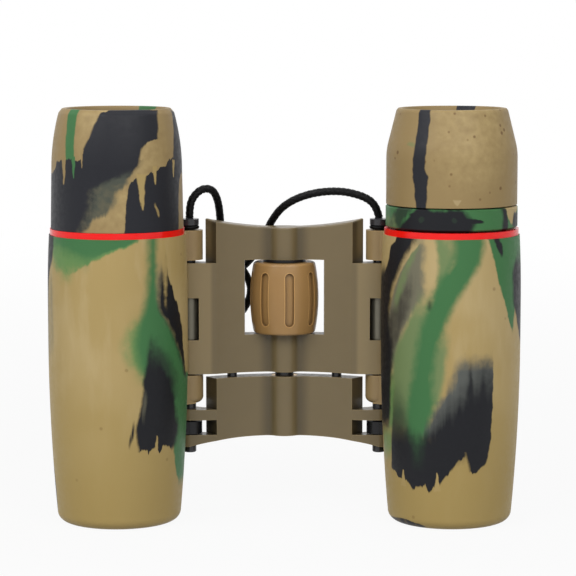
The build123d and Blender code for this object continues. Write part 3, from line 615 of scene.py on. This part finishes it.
# Painted highlight: a paler tan over the cup's front.
painted_highlight = [(106, 78, 150), (140, 80, 160), (180, 90, 165), (230, 90, 160)]
cup.stroke(TAN, painted_highlight, soft=(45, 50, 5, 9), smoke=0.5, cover=0.4)
cup.speckle(0.06)
green_bar = [(104, 71.2, 80.8), (110, 70.5, 79.8), (126, 66.9, 76), (145, 65.6, 74.2), (161, 65.6, 75)]
cup.stroke(GREEN, green_bar, soft=(2, 2, 0.4, 0.6))
upper_black = [
    (109.4, 114.5, 157.4), (111, 107, 157.5), (113, 101.5, 157.5), (120, 96.8, 157.6), (127, 93.2, 158),
    (136, 89.8, 158), (138.7, 88.8, 157.8), (140.6, 87.5, 150.5), (146, 85, 143.3), (152, 82.5, 141),
    (158, 82, 139.6), (164, 80, 138.4), (170, 78, 134), (177, 76, 129), (188, 75, 112),
]
cup.stroke(CUP_BLACK_SHEEN, upper_black, soft=(2.5, 3, 0.4, 3), drag=0.5, smoke=0.4)
smoky_wash = [
    (172, 102, 133), (177.5, 96, 129), (185, 86, 127.8), (192.5, 80, 117), (200, 78, 115),
    (207.5, 78, 113), (215, 76, 104), (222.5, 74, 92), (231, 70, 84),
]
cup.stroke(SMOKE, smoky_wash, soft=(8, 9, 2, 1), drag=1, smoke=0.6, cover=0.92)
left_black = [
    (160.5, 60, 138), (166, 60, 136), (172, 60, 129), (177.5, 60, 119), (182, 60, 106), (187, 60, 97),
    (192.5, 60, 93), (200, 60, 91), (207.5, 60, 90), (215, 60, 88), (222.5, 60, 85), (236, 60, 78),
]
cup.stroke(CUP_BLACK_SHEEN, left_black, soft=(6, 15, 0.4, 0.4), rag=(0.9, 0), smoke=0.7, to_left=-148)
right_black = [
    (158, 171, 184), (166, 164, 184), (169.6, 158, 183), (173, 148, 181), (177, 138, 180),
    (182, 131, 179.3), (187, 128.3, 179), (195, 127.7, 178.8), (207, 126, 178.7), (238, 124.5, 178.5),
]
cup.stroke(CUP_BLACK_SHEEN, right_black, rag=(1.5, 0), drag=1.1)
edge_black = [(111, 170.5, 190), (132, 173.4, 190), (145, 173.4, 190), (165, 172.8, 190)]
cup.stroke(CUP_BLACK_SHEEN, edge_black, soft=(2.5, 1, 0.8, 0.4), to_right=100)
middle_gap = [
    (174, 136, 147), (182, 137.6, 145), (195, 139, 144.6), (205, 140.8, 144), (210.5, 142.2, 143.2),
]
cup.stroke(TAN_WARM, middle_gap, soft=(1.6, 1.6, 0.5, 0.5))
upper_notch = [(166, 152.8, 156.6), (176, 153.6, 156.2), (185, 154.6, 155.6)]
cup.stroke(TAN_WARM, upper_notch)
lower_slit = [(204, 154.6, 156), (211, 156.4, 159), (216.5, 158.4, 159.6)]
cup.stroke(TAN_WARM, lower_slit, soft=(1.5, 1.5, 1, 0.6), cover=0.75)
right_notch = [(160, 172, 174.6), (168, 172.6, 174.4), (177, 173.4, 174)]
cup.stroke(TAN_WARM, right_notch)
left_notch = [(156, 40, 57), (163, 40, 56.2), (168.5, 40, 55), (173, 40, 53)]
cup.stroke(TAN_CUP, left_notch, drag=0.5, to_left=-150)
second_notch = [(158, 61.6, 65.6), (166, 62, 65), (175, 62.8, 64.7), (184, 63.3, 64.2)]
cup.stroke(TAN_CUP, second_notch)
third_notch = [(150, 80.8, 83.4), (160, 81.1, 82.7), (168, 81.6, 82.2)]
cup.stroke(TAN_CUP, third_notch)
green_tip = [(156, 71.8, 75.6), (168, 72.4, 74.8), (178, 73.2, 74.2)]
cup.stroke(GREEN, green_tip)
back_green = [(99, 131, 157), (84, 128, 150), (74, 126, 140)]
cup.back_stroke(GREEN, back_green, soft=(2, 2, 1, 3), rag=(0, 2))
back_black = [(89, -176, -152), (82, -172, -146), (76, -168, -140), (64, -168, -132)]
cup.back_stroke(CUP_BLACK_SHEEN, back_black, soft=(2, 5, 3, 1), rag=(2, 0), drag=1)
cup.done("left_eyecup", hollow=0.5)

# Right eyecup: specked, with a black stroke in front
cup = Camo("camo_right_eyecup", BARREL_X, RIGHT_CUP, low=66, high=98, base=TAN_CUP)
# Painted highlight: a paler tan over the cup's front.
painted_highlight = [(106, 436, 500), (130, 440, 503), (160, 445, 500), (185, 450, 492)]
cup.stroke(TAN, painted_highlight, soft=(60, 50, 5, 9), smoke=0.5, cover=0.4)
cup.speckle(0.75)
green_fleck = [(142, 409, 413), (144.5, 408, 415), (147, 411, 416)]
cup.stroke(GREEN_PALE, green_fleck, soft=(5, 5, 1, 1), cover=0.6)
front_black = [
    (104, 421.4, 431.8), (110, 420.4, 431), (126, 418, 429.7), (141, 416, 427.9), (150, 414.3, 426.3),
    (159.7, 413, 425.4), (169.6, 412.6, 424.8), (179.6, 413.3, 427.9), (190.8, 414.6, 427),
    (212, 415.8, 425.5),
]
cup.stroke(CUP_BLACK_SHEEN, front_black, soft=(1.6, 1.6, 0.4, 0.4))
index_mark = [(200, 453, 462), (206, 457, 458)]
cup.stroke(TAN_PALE, index_mark, soft=(1.5, 1.5, 0.4, 0.4), cover=0.5)
back_black = [(99, 147, 169), (86, 150, 172), (76, 146, 164), (68, 142, 156)]
cup.back_stroke(CUP_BLACK_SHEEN, back_black, rag=(0, 2))
back_green = [(89, -150, -128), (84, -146, -120), (77, -136, -116)]
cup.back_stroke(GREEN, back_green, soft=(3, 4, 2, 3), rag=(1, 3))
cup.done("right_eyecup", hollow=0.2)

# Diopter ring: green with black and a little tan
band = Camo("camo_diopter_ring", BARREL_X, RING, low=62, high=76, base=GREEN)
dark_slope = [(203, 401, 414), (212, 394, 410), (222, 389, 403), (234, 386, 399)]
band.stroke(GREEN_DARK, dark_slope, soft=(14, 12, 1, 2), dry=0.25, smoke=0.5)
pale_corner = [(216, 386, 394), (228, 388, 397), (236, 390, 400)]
band.stroke(GREEN_PALE, pale_corner, soft=(10, 10, 2, 1), smoke=0.5, cover=0.6)
upper_black = [(204, 416, 428.5), (209, 415.5, 428.5), (215, 411, 431)]
band.stroke(BLACK, upper_black, soft=(4, 5, 0.4, 0.8))
lower_black = [
    (209.6, 444, 463), (213, 411.5, 466), (217, 408.5, 468.5), (221, 405, 472), (225, 402, 474.5),
    (229, 398.5, 473), (236, 396, 472),
]
band.stroke(BLACK, lower_black, soft=(6, 7, 1.4, 0.4), rag=(0.5, 0), smoke=0.5)
black_flick = [(219.6, 468, 479), (221.8, 468, 484), (224.4, 468, 477)]
band.stroke(BLACK, black_flick, soft=(2, 5, 0.5, 0.6), dry=0.2)
tan_wedge = [(203, 505, 519), (212, 506.5, 516), (219, 508.5, 513.5), (224, 510.5, 512.5)]
band.stroke(TAN, tan_wedge, soft=(2, 2, 0.4, 0.8), drag=0.4)
wedge_edge = [(208, 501.5, 506), (214, 503, 507), (224, 502.6, 508), (236, 501.5, 507)]
band.stroke(BLACK, wedge_edge, soft=(5, 2, 0.6, 0.5), drag=0.4)
edge_black = [(212, 514, 517), (218, 513, 530), (227, 512.5, 530)]
band.stroke(BLACK, edge_black, soft=(2.5, 3, 0.8, 0.8), to_right=112)
diamond_middles = ((421.6, 219.4), (454.0, 221.0))
diamond_half, diamond_tip = 3, 0.6
for px, py in diamond_middles:
    diamond = [
        (py - diamond_half, px - diamond_tip, px + diamond_tip),
        (py, px - diamond_half, px + diamond_half),
        (py + diamond_half, px - diamond_tip, px + diamond_tip),
    ]
    band.stroke(GREEN_DARK, diamond, soft=(2.5, 2.5, 0.5, 0.5), cover=0.4)
back_black = [(76, 140, 168), (70, 134, 172), (66, 138, 166)]
band.back_stroke(BLACK, back_black, soft=(3, 3, 1, 1))
back_tan = [(76, -170, -140), (66, -164, -132)]
band.back_stroke(TAN, back_tan, soft=(3, 3, 1, 1))
band.done("diopter_ring")

# Left barrel
barrel = Camo("camo_left_barrel", -BARREL_X, BARREL, low=-6, high=72, base=TAN)
barrel.speckle(0.06, cover=0.35)
light_collar = [
    (232, 50, 142), (242, 50.6, 136), (248, 51.4, 124), (256, 53, 106), (264, 54.4, 90), (270, 57.6, 80),
    (275, 62, 72),
]
barrel.stroke(GREEN_LIGHT, light_collar, soft=(18, 6, 1, 6), drag=0.8, smoke=0.5)
green_collar = [
    (230, 50, 143), (241.7, 52, 135), (247.5, 58, 121), (253, 66, 106), (258, 76, 96), (264, 84, 88),
]
barrel.stroke(GREEN, green_collar, soft=(36, 7, 1, 6), drag=0.5, smoke=0.3)
# Painted shade: a grey wash along the barrel's left side.
left_edge_shade = [(268, 40, 52), (290, 40, 53), (320, 40, 53), (345, 40, 53), (362, 40, 52)]
barrel.stroke(SMEAR, left_edge_shade, soft=(22, 12, 9, 9), drag=1, dry=0.3, to_left=-104, cover=0.5)
side_black = [(68, -122, -66), (61, -118, -64), (57, -114, -72), (50, -108, -79), (40, -104, -84)]
barrel.back_stroke(BLACK, side_black, soft=(4, 6, 1, 14), dry=0.2)
light_bulge = [
    (318, 139, 152), (333, 130, 152), (345, 126.5, 152), (356, 127.5, 152), (366, 132, 152),
    (377, 139, 152),
]
barrel.stroke(GREEN_LIGHT, light_bulge, soft=(18, 3, 5, 6), drag=0.3, smoke=0.3)
green_band = [
    (230, 148.4, 156.6), (260, 148.2, 156), (279, 147.4, 156.4), (297, 145.7, 158.5), (313.8, 142, 163),
    (324, 139, 169), (332.4, 137, 173), (342.5, 136, 177), (352, 137, 180), (361, 139, 183),
    (369.6, 142, 184.5), (381.4, 145, 185), (395, 148, 185.5), (405, 152, 185.5),
]
barrel.stroke(GREEN, green_band, soft=(11, 7, 1, 3), smoke=0.2)
edge_green = [
    (372, 168, 185), (385, 170, 185), (400, 172, 185), (430, 174, 185), (445, 173.6, 185),
    (456, 174.4, 185), (466, 175.4, 185), (480, 178.4, 185),
]
barrel.stroke(GREEN, edge_green, soft=(3, 8, 1, 3.5), drag=0.6, to_right=108)
upper_smear = [(268, 157, 162), (282, 157, 165), (295, 157.6, 168), (306, 159.4, 171), (318, 164.6, 174)]
barrel.stroke(SMEAR, upper_smear, soft=(9, 8, 8, 6), drag=1, smoke=0.3, cover=0.8)
upper_black = [
    (262, 163.5, 167), (280, 159.6, 169.5), (293, 158.6, 174), (305, 158.9, 178), (312, 160.7, 179.4),
    (321, 166.4, 181), (332, 171.8, 182.2), (348, 177, 183.4), (361, 181.2, 184.6), (377, 184.6, 186),
]
barrel.stroke(BLACK, upper_black, soft=(15, 3, 12, 2), rag=(1.5, 0), drag=1.2, dry=0.3, smoke=0.4)
tan_streak = [
    (258, 162, 167.6), (270, 163, 167.4), (282, 163, 166.4), (296, 164.4, 166.6), (306, 165.8, 166.6),
]
barrel.stroke(TAN_WARM, tan_streak, soft=(4, 4, 3, 3), drag=1, smoke=0.6, cover=0.8)
dark_green = [(345, 149, 159), (356, 147.4, 167), (368, 147, 173), (380, 150, 176.4), (394, 158, 178)]
barrel.stroke(GREEN_DARK, dark_green, soft=(6, 16, 7, 8), smoke=0.4)
lower_black = [
    (347, 149.6, 153), (359, 147.4, 158), (365, 146.6, 161.4), (371, 146, 165.4), (381, 143.8, 171),
    (395, 143.6, 174.6), (407, 141.4, 176.2), (420, 138, 177.4), (429, 135.7, 178), (437, 136.2, 177),
    (443, 137, 175.4), (450, 138, 170),
]
barrel.stroke(BLACK, lower_black, soft=(5, 11, 20, 0.5), rag=(1.5, 2.6), drag=1.1, dry=0.2, smoke=0.3)
lower_smear = [(392, 144.6, 148), (405, 143, 147), (418, 141, 144.6)]
barrel.stroke(SMEAR, lower_smear, soft=(5, 6, 5, 5), drag=1, dry=0.3, cover=0.45)
bottom_notch = [(436, 156.3, 157.1), (443, 155.9, 158), (454, 155, 159.4)]
barrel.stroke(TAN_WARM, bottom_notch, drag=0.6)
loose_dab = [(422, 132.4, 135.4), (436, 129.4, 133.4), (448, 127, 130.8)]
barrel.stroke(BLACK, loose_dab, soft=(5, 5, 6, 5), rag=(2, 4), drag=1.4, dry=0.5, cover=0.9)
back_green = [(70, 128, 172), (52, 132, 168), (40, 120, 150), (24, 116, 134), (14, 112, 124)]
barrel.back_stroke(GREEN, back_green, soft=(4, 12, 1, 4), rag=(0, 3), drag=1, smoke=0.4)
low_black = [(15, -112, -82), (8, -108, -76), (2, -100, -79)]
barrel.back_stroke(BLACK, low_black, soft=(4, 4, 3, 1), rag=(1, 0), drag=1)
back_black = [(60, -176, -150), (46, -172, -134), (30, -160, -122), (20, -154, -126)]
barrel.back_stroke(BLACK, back_black, soft=(6, 8, 12, 0.6), rag=(2, 4), drag=1, dry=0.3)
side_green = [(34, -120, -98), (20, -124, -92), (8, -120, -100)]
barrel.back_stroke(GREEN, side_green, soft=(10, 8, 6, 3), rag=(2, 3), drag=1, smoke=0.4)
barrel.done("left_armour")

# Right barrel
barrel = Camo("camo_right_barrel", BARREL_X, BARREL, low=-6, high=72, base=TAN)
barrel.speckle(0.06, cover=0.35)
upper_smear = [
    (240, 416, 424), (250, 411, 424.4), (262, 405, 423.6), (275, 399, 423), (288, 394, 424),
    (297, 392, 423.4), (305, 390, 418.4), (315, 388, 412.6), (325, 386.6, 406), (335, 386, 401.6),
    (346, 385, 398.6), (368, 384, 396),
]
barrel.stroke(SMEAR, upper_smear, soft=(6, 9, 5, 6), drag=1.2, smoke=0.4)
dark_smear = [
    (286, 404, 414), (300, 396, 411), (314, 390, 407), (328, 387, 402), (342, 386, 397),
    (356, 385.6, 394),
]
barrel.stroke(SMEAR_DARK, dark_smear, soft=(10, 9, 12, 8), drag=1.6, dry=0.15, smoke=0.3, cover=0.8)
pale_trail = [(247, 415, 419.6), (262, 407, 412.6), (276, 401, 407), (290, 396.4, 402.6), (304, 393, 398)]
barrel.stroke(GREEN_PALE, pale_trail, soft=(4, 7, 4, 6), drag=1, smoke=0.4, cover=0.75)
tan_trail = [
    (243, 415, 421), (250, 409.6, 414.4), (258, 404, 408.6), (270, 398.4, 401.8), (277, 396, 398.2),
    (285, 394.2, 395.4),
]
barrel.stroke(TAN, tan_trail, soft=(2.5, 3, 2, 2), drag=0.6, smoke=0.4, cover=0.9)
left_bank = [
    (303, 417, 434), (320, 409, 430), (335, 402, 426), (355, 394, 421), (380, 393, 417), (400, 393, 415),
    (428, 392, 413),
]
barrel.stroke(GREEN_PALE, left_bank, soft=(8, 6, 8, 8), drag=0.5, smoke=0.3)
pale_top = [
    (230, 434, 463), (250, 437, 460), (262, 438.4, 455), (275, 438, 449), (288, 436.4, 445),
    (301, 433, 440),
]
barrel.stroke(GREEN_PALE, pale_top, soft=(5, 8, 1, 4), drag=0.6, smoke=0.3)
tan_top = [(236, 443, 459), (246, 449, 460), (256, 452, 457.6)]
barrel.stroke(TAN, tan_top, soft=(12, 10, 2, 4), smoke=0.4, cover=0.4)
right_bank = [
    (338, 436, 449), (356, 431, 446), (373, 429, 444.6), (390, 428, 441.6), (412, 426, 438),
]
barrel.stroke(GREEN_PALE, right_bank, soft=(5, 7, 8, 8), drag=0.5, smoke=0.3)
green_band = [
    (230, 452, 486), (251, 454, 483), (266, 451, 478.5), (280, 440, 471), (297, 432, 460),
    (317, 424.4, 449.5), (331, 419.8, 444), (351, 416, 437), (365, 414, 434.4), (381, 411.6, 432.6),
    (395, 408.6, 433), (407, 407, 433.4), (420, 406, 431), (452, 408, 424),
]
barrel.stroke(GREEN, green_band, soft=(11, 9, 1, 10), drag=0.6, smoke=0.3)
black_dot = [(300, 429.2, 431), (305, 427.6, 431.8), (310, 429.2, 431)]
barrel.stroke(BLACK, black_dot, soft=(4, 4, 1.4, 1.4), drag=0.5, cover=0.6)
right_green = [
    (230, 487, 530), (254, 492, 530), (266, 495.5, 530), (287, 500, 518), (307, 506, 515),
    (323.8, 510, 513.5), (330, 512, 513),
]
barrel.stroke(GREEN, right_green, soft=(2, 3, 1, 2))
right_tick = [(230, 490, 498), (239, 493.5, 499.5), (247.5, 497, 502.6), (256, 500.5, 503)]
barrel.stroke(BLACK, right_tick, soft=(3, 3, 1, 1.5), drag=0.5, dry=0.2)
edge_black = [
    (256, 516.4, 530), (270, 513, 530), (290, 513, 530), (305, 514, 530), (318, 516.4, 530),
    (330, 518.4, 530), (344, 520, 530),
]
barrel.stroke(BLACK, edge_black, soft=(8, 3, 8, 5), rag=(1.5, 1.5), drag=1, dry=0.25, to_right=118)
left_black = [
    (230, 397, 418), (238, 396, 415.6), (247.5, 391, 410.6), (255.8, 389.6, 405.6), (270.7, 386, 399),
    (285, 382, 393.4), (300, 380, 390.4), (320, 380, 389.4), (340, 380, 391.4), (360, 380, 392.4),
    (380, 380, 392.4), (400, 380, 392), (415, 380, 391.4), (427, 380, 390),
]
barrel.stroke(BLACK, left_black, soft=(2, 9, 0.4, 5), drag=1, smoke=0.4)
side_black = [(58, -108, -72), (44, -112, -72), (32, -104, -74), (24, -98, -78)]
barrel.back_stroke(BLACK, side_black, soft=(4, 4, 4, 3), rag=(1, 2))
low_green = [(429, 380, 391), (437, 380, 392), (445, 380, 392), (454, 380, 391)]
barrel.stroke(GREEN_LIGHT, low_green, soft=(2, 5, 3.5, 5), to_left=-84, cover=0.8)
thin_green = [(376, 391, 394.4), (396, 390.4, 394.4), (412, 390, 394), (428, 389, 393)]
barrel.stroke(GREEN_LIGHT, thin_green, soft=(5, 4, 5, 3), cover=0.85)
ash_patch = [
    (362, 457, 493), (371, 455, 493), (381, 452.4, 493), (395, 447.6, 492.6), (402, 441, 492.4),
    (412, 435.6, 492), (424, 429, 491), (440, 419, 490),
]
barrel.stroke(ASH, ash_patch, soft=(13, 2, 7, 4), rag=(2.6, 0), drag=0.8, dry=0.25, smoke=0.3)
dark_green = [(395, 393, 402), (410, 393, 405), (425, 392, 409), (445, 392, 412)]
barrel.stroke(GREEN_DARK, dark_green, soft=(4, 12, 10, 6), cover=0.75)
right_patch = [
    (377, 470, 493), (385, 466, 493), (393, 461.6, 493), (400, 456.6, 492.6), (408.5, 450, 492.4),
    (418, 442, 492), (428, 434.6, 491.4), (441, 424, 490.4), (452, 440, 488.4),
]
barrel.stroke(BLACK, right_patch, soft=(32, 2, 18, 0.5), rag=(3, 0), drag=0.8, dry=0.2, smoke=0.2)
right_prong = [
    (436, 458, 490.8), (446, 462, 489.6), (453, 465.6, 488.4), (458, 467, 487.4), (463, 468.2, 485.6),
    (468, 469.2, 481), (474, 470.4, 475),
]
barrel.stroke(BLACK, right_prong, soft=(3, 2, 5, 0.5), rag=(0, 1.6), drag=0.8)
first_spike = [(366, 470.4, 471.6), (382, 468.8, 472.4), (402, 466, 473.4)]
barrel.stroke(BLACK, first_spike, soft=(4, 3, 5, 5), drag=1, cover=0.9)
second_spike = [(372, 482.4, 483.4), (386, 481, 484.6), (402, 478, 486)]
barrel.stroke(BLACK, second_spike, soft=(4, 4, 6, 5), drag=1, cover=0.85)
left_fade = [(424, 393, 402), (432, 392.4, 414), (440, 392, 432), (448, 391.6, 452), (458, 391.6, 466)]
barrel.stroke(BLACK, left_fade, soft=(2.5, 26, 13, 5), rag=(1.5, 0), drag=1.2, dry=0.12)
left_patch = [
    (440, 391.6, 452), (450, 391.6, 464), (455, 391.6, 465.6), (461, 391.8, 459.6), (467, 392, 454),
    (473, 395, 449.5), (478, 402, 444.4), (483, 408.6, 440), (489, 413, 437.6),
]
barrel.stroke(BLACK, left_patch, soft=(2.5, 2.5, 5, 0.5), rag=(0, 2.2), drag=1.2)
green_tail = [
    (402, 410, 430), (415, 409, 428.6), (428, 410.4, 425.6), (438, 412.6, 422.6), (449, 415, 420),
]
barrel.stroke(GREEN, green_tail, soft=(14, 14, 10, 12), smoke=0.2, cover=0.75)
left_notch = [(470, 402.6, 403.6), (477, 402, 404.6), (486, 400.6, 406.6)]
barrel.stroke(TAN_WARM, left_notch)
right_notch = [(473, 436.4, 437.4), (480, 435.6, 438.6), (492, 434, 440.4)]
barrel.stroke(TAN_WARM, right_notch)
foot_black = [(516, 392, 399), (520, 394, 410), (524, 402, 422), (527, 412, 428)]
barrel.stroke(BLACK, foot_black, soft=(3, 5, 0.5, 0.5), dry=0.2, cover=0.85)
back_black = [(70, 132, 160), (54, 126, 166), (40, 136, 172), (30, 140, 168)]
barrel.back_stroke(BLACK, back_black, soft=(5, 7, 1, 0.6), rag=(0, 4), drag=1, dry=0.2)
back_green = [(66, -176, -142), (46, -166, -128), (26, -150, -118), (12, -140, -122)]
barrel.back_stroke(GREEN, back_green, soft=(8, 10, 5, 5), rag=(2, 3), drag=1, smoke=0.4)
side_green = [(36, 108, 134), (20, 104, 138), (8, 108, 126)]
barrel.back_stroke(GREEN, side_green, soft=(8, 8, 6, 4), rag=(2, 3), drag=1, smoke=0.4)
barrel.done("right_armour")


# Plain finishes
def shaded(colour, share):
    return (*[min(v * share, 1) for v in colour[:3]], 1)


DARK_SHARE, WORN_LIT_SHARE = 0.12, 2.0  # of a finish's colour, in its painted crease shade and on its edges, worn and with a painted highlight
WORN_LIT_REACH = 0.35  # reach of the edges' wear and painted highlight, in millimetres


def plain(
    name, colour, roughness, pieces, shade=0.12, scale=220, grain=2600, relief=0.02, crease_shade=0.0, crease=4.0,
    wear_and_highlight=0.0, painted_light=None, **settings,
):
    """A finish with a slow drift of shade, a fine grain, painted shade in the creases and, on the edges,
    wear with a painted highlight; relief and crease are in millimetres."""
    look = Look(name, roughness, **settings)
    tone = look.mix(look.noise(scale, 3), shaded(colour, 1 - shade), colour)
    # Painted light: shade and highlight painted into the tone.
    if painted_light:
        tone = painted_light(look, tone, colour)
    # Painted shade: the colour is darker in creases, where shade falls.
    if crease_shade:
        tone = look.mix(look.hidden(crease, 0.35, 0.97, crease_shade), tone, shaded(colour, DARK_SHARE))
    # Wear and a painted highlight: the colour is lighter on the edges.
    if wear_and_highlight:
        worn_and_highlit = look.hidden(WORN_LIT_REACH, 0.5, 0.95, wear_and_highlight, inside=True)
        tone = look.mix(worn_and_highlit, tone, shaded(colour, WORN_LIT_SHARE))
    look.set("Base Color", tone)
    rough = look.step(look.noise(grain / 3, 2), 0.3, 0.7, roughness - 0.05, roughness + 0.07)
    look.set("Roughness", rough)
    look.bump(look.noise(grain, 2), relief * MM, 0.6)
    look.dress(*pieces)


# Where the bridge's painted shade and painted highlight begin and end, from its middle plane
VALLEY_IN, VALLEY_OUT = (2.1 * MM, 3.4 * MM), (3.6 * MM, 6.5 * MM)
SPINE_SIDE, KNUCKLE_SIDE = (3.6 * MM, 4.6 * MM), (16.4 * MM, 17.6 * MM)
VALLEY_SHADE_SHARE, SIDE_SHADE_SHARE, KNUCKLE_HIGHLIGHT_SHARE = 0.5, 0.5, 0.75
KNUCKLE_HIGHLIGHT = 1.65


def bridge_painted_light(look, tone, colour):
    """Painted shade in the two valleys beside the spine and on the side faces, a painted highlight on the
    knuckles' front.
    """
    dark = shaded(colour, DARK_SHARE)
    x, _, z = look.split(look.place)
    normal_x, normal_y, _ = look.split(look.new("TexCoord").outputs["Normal"])
    off = look.math("ABSOLUTE", x)
    front = look.step(normal_y, -0.4, -0.1, 1.0, 0.0)
    # Painted shade in the valleys beside the spine, on faces turned to the front.
    valley_end = look.step(off, *VALLEY_OUT, VALLEY_SHADE_SHARE, 0.0)
    valley_shade = look.times(look.step(off, *VALLEY_IN), valley_end)
    tone = look.mix(look.times(valley_shade, front), tone, dark)
    # Painted shade on the side faces, away from the spine.
    side_shade = look.step(look.math("ABSOLUTE", normal_x), 0.45, 0.7, 0.0, SIDE_SHADE_SHARE)
    off_spine = look.step(off, *SPINE_SIDE)
    tone = look.mix(look.times(side_shade, off_spine), tone, dark)
    # Painted highlight on the knuckles' front, on the upper bridge.
    upper = look.math("GREATER_THAN", z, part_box("upper_bridge")[0][2])
    knuckle_highlight = look.times(look.step(off, *KNUCKLE_SIDE, 0.0, KNUCKLE_HIGHLIGHT_SHARE), upper)
    return look.mix(look.times(knuckle_highlight, front), tone, shaded(colour, KNUCKLE_HIGHLIGHT))


def both(*names):
    return [f"{side}_{name}" for name in names for side in ("left", "right")]


plain(
    "shell_tan", srgb(156, 132, 92), 0.36, both("barrel_tube"),
    relief=0.006, crease_shade=0.6, wear_and_highlight=0.3, Specular_IOR_Level=0.45,
)
plain(
    "trim_red", srgb(246, 15, 11), 0.2, both("trim_ring"),
    shade=0.03, grain=900, relief=0.001, Specular_IOR_Level=0.4,
)
plain(
    "bridge_paint", srgb(119, 104, 74), 0.33, ["upper_bridge", "lower_bridge"],
    shade=0.08, relief=0.003, crease_shade=0.9, crease=10.0, wear_and_highlight=0.35, painted_light=bridge_painted_light, Specular_IOR_Level=0.5,
)
plain(
    "knob_tan", srgb(164, 127, 78), 0.34, ["focus_knob"],
    shade=0.08, relief=0.004, crease_shade=0.5, crease=2.0, wear_and_highlight=0.55, Specular_IOR_Level=0.45,
)
pins = both("hinge_pin") + ["guide_pins", "focus_screw", "knob_set_screw"]
plain("pin_black", srgb(50, 50, 54), 0.22, pins, shade=0.2, relief=0.002, wear_and_highlight=0.25)
plain("sleeve_grey", srgb(120, 116, 102), 0.38, both("hinge_sleeve"), Metallic=0.6)
black_pieces = both(
    "objective_cell", "objective_retainer", "ocular_tube", "lens_spacer", "lens_retainer", "prism_holder",
)
plain(
    "black_plastic", srgb(24, 24, 27), 0.32, black_pieces + ["thrust_washer"],
    shade=0.2, Specular_IOR_Level=0.35,
)
plain("steel", srgb(188, 188, 190), 0.3, both("prism_clip"), Metallic=1.0)
brass_pieces = ["upper_focus_bush", "lower_focus_bush", "focus_nut"]
plain("brass", srgb(196, 158, 88), 0.3, brass_pieces, Metallic=1.0)
plain(
    "cord_black", srgb(9, 9, 10), 0.42, [p.name for p in (neck_cord, strap, *left_loop, *right_loop)],
    shade=0.45, scale=1500, grain=5200, crease_shade=0.85, crease=0.4, Specular_IOR_Level=0.16,
)

# Glass
GLASS_IOR, FILM_IOR = 1.52, 1.38
LENS_FILM = 380.0  # nanometres


def glass(name, film, pieces):
    coat = {"Thin_Film_Thickness": film, "Thin_Film_IOR": FILM_IOR}
    look = Look(name, 0.02, IOR=GLASS_IOR, Transmission_Weight=1.0, **coat)
    look.set("Base Color", look.mix(look.noise(60, 1), srgb(232, 238, 244), srgb(244, 248, 250)))
    look.dress(*pieces)


glass("lens_coated", LENS_FILM, both("objective_lens", "eye_lens", "field_lens"))
glass("prism_clear", 0.0, both("half_penta_prism", "roof_prism"))

# Stage: a pale floor, a white surround and soft lamps
WHITE = (1, 1, 1, 1)
FLOOR_HALF = 3
SHADOW_NEAR, SHADOW_FAR = 0.08, 0.7  # the floor's shadow fades out between these distances
SHADOW_WHITE = 0.93  # the floor's own glow at the object
SKY_LIGHT = 0.2  # strength of the surround as a light
ROOM_FRONT, ROOM_BACK, ROOM_DARK = -0.7, 0.2, 0.3

corners = [(x * FLOOR_HALF, y * FLOOR_HALF, 0) for x, y in ((-1, -1), (1, -1), (1, 1), (-1, 1))]
floor = mesh_object("floor", corners, [(0, 1, 2, 3)], smooth=False)

paper = Look("floor_white", 0.9, Specular_IOR_Level=0.1)
paper.set("Base Color", paper.mix(paper.noise(6, 2), srgb(184, 184, 184), srgb(192, 192, 192)))
glow = paper.new("Emission", Color=WHITE)
distance = paper.new("VectorMath")
distance.operation = "LENGTH"
paper.put(distance.inputs[0], paper.place)
whiter = paper.step(distance.outputs["Value"], SHADOW_NEAR, SHADOW_FAR, SHADOW_WHITE, 1.0)
blend = paper.new("MixShader")
paper.put(blend.inputs[0], paper.times(paper.white_rays(), whiter))
paper.put(blend.inputs[1], paper.shader.outputs[0])
paper.put(blend.inputs[2], glow.outputs[0])
paper.put(paper.tree.nodes["Material Output"].inputs["Surface"], blend.outputs[0])
paper.dress("floor")

# Surround: white where it is seen, and in reflections darker in front than behind
world = bpy.data.worlds.new("surround")
bpy.context.scene.world = world
world.use_nodes = True
sky = Nodes(world.node_tree)
level = sky.ramp(sky.white_rays(), 0, 1, SKY_LIGHT, 1.0)
aim = sky.split(sky.new("TexCoord").outputs["Generated"])
room = sky.ramp(aim["Y"], ROOM_FRONT, ROOM_BACK, ROOM_DARK, 1.0)
glossy = sky.new("LightPath").outputs["Is Glossy Ray"]
mirror = sky.new("Mix", Factor=glossy, A=1.0, B=room).outputs[0]
sky.fill(sky.tree.nodes["Background"], {"Color": WHITE, "Strength": sky.times(level, mirror)})

LAMP_AIM = (0, 0, 0.05)


def lamp(name, place, size, power):
    data = bpy.data.lights.new(name, "AREA")
    data.shape = "RECTANGLE"
    data.size, data.size_y = size
    data.energy = power
    light = bpy.data.objects.new(name, data)
    light.location = place
    light.rotation_euler = (Vector(LAMP_AIM) - Vector(place)).to_track_quat("-Z", "Y").to_euler()
    bpy.context.scene.collection.objects.link(light)


lamp("key", place=(-0.46, -0.42, 0.5), size=(0.45, 0.5), power=2.9)
lamp("fill", place=(0.34, -0.53, 0.5), size=(0.45, 0.5), power=2.2)
lamp("front", place=(0, -0.72, 0.46), size=(0.5, 0.3), power=1.4)
lamp("top", place=(0, 0.12, 0.8), size=(0.6, 0.4), power=1.2)

bpy.context.scene.view_settings.view_transform = "Standard"
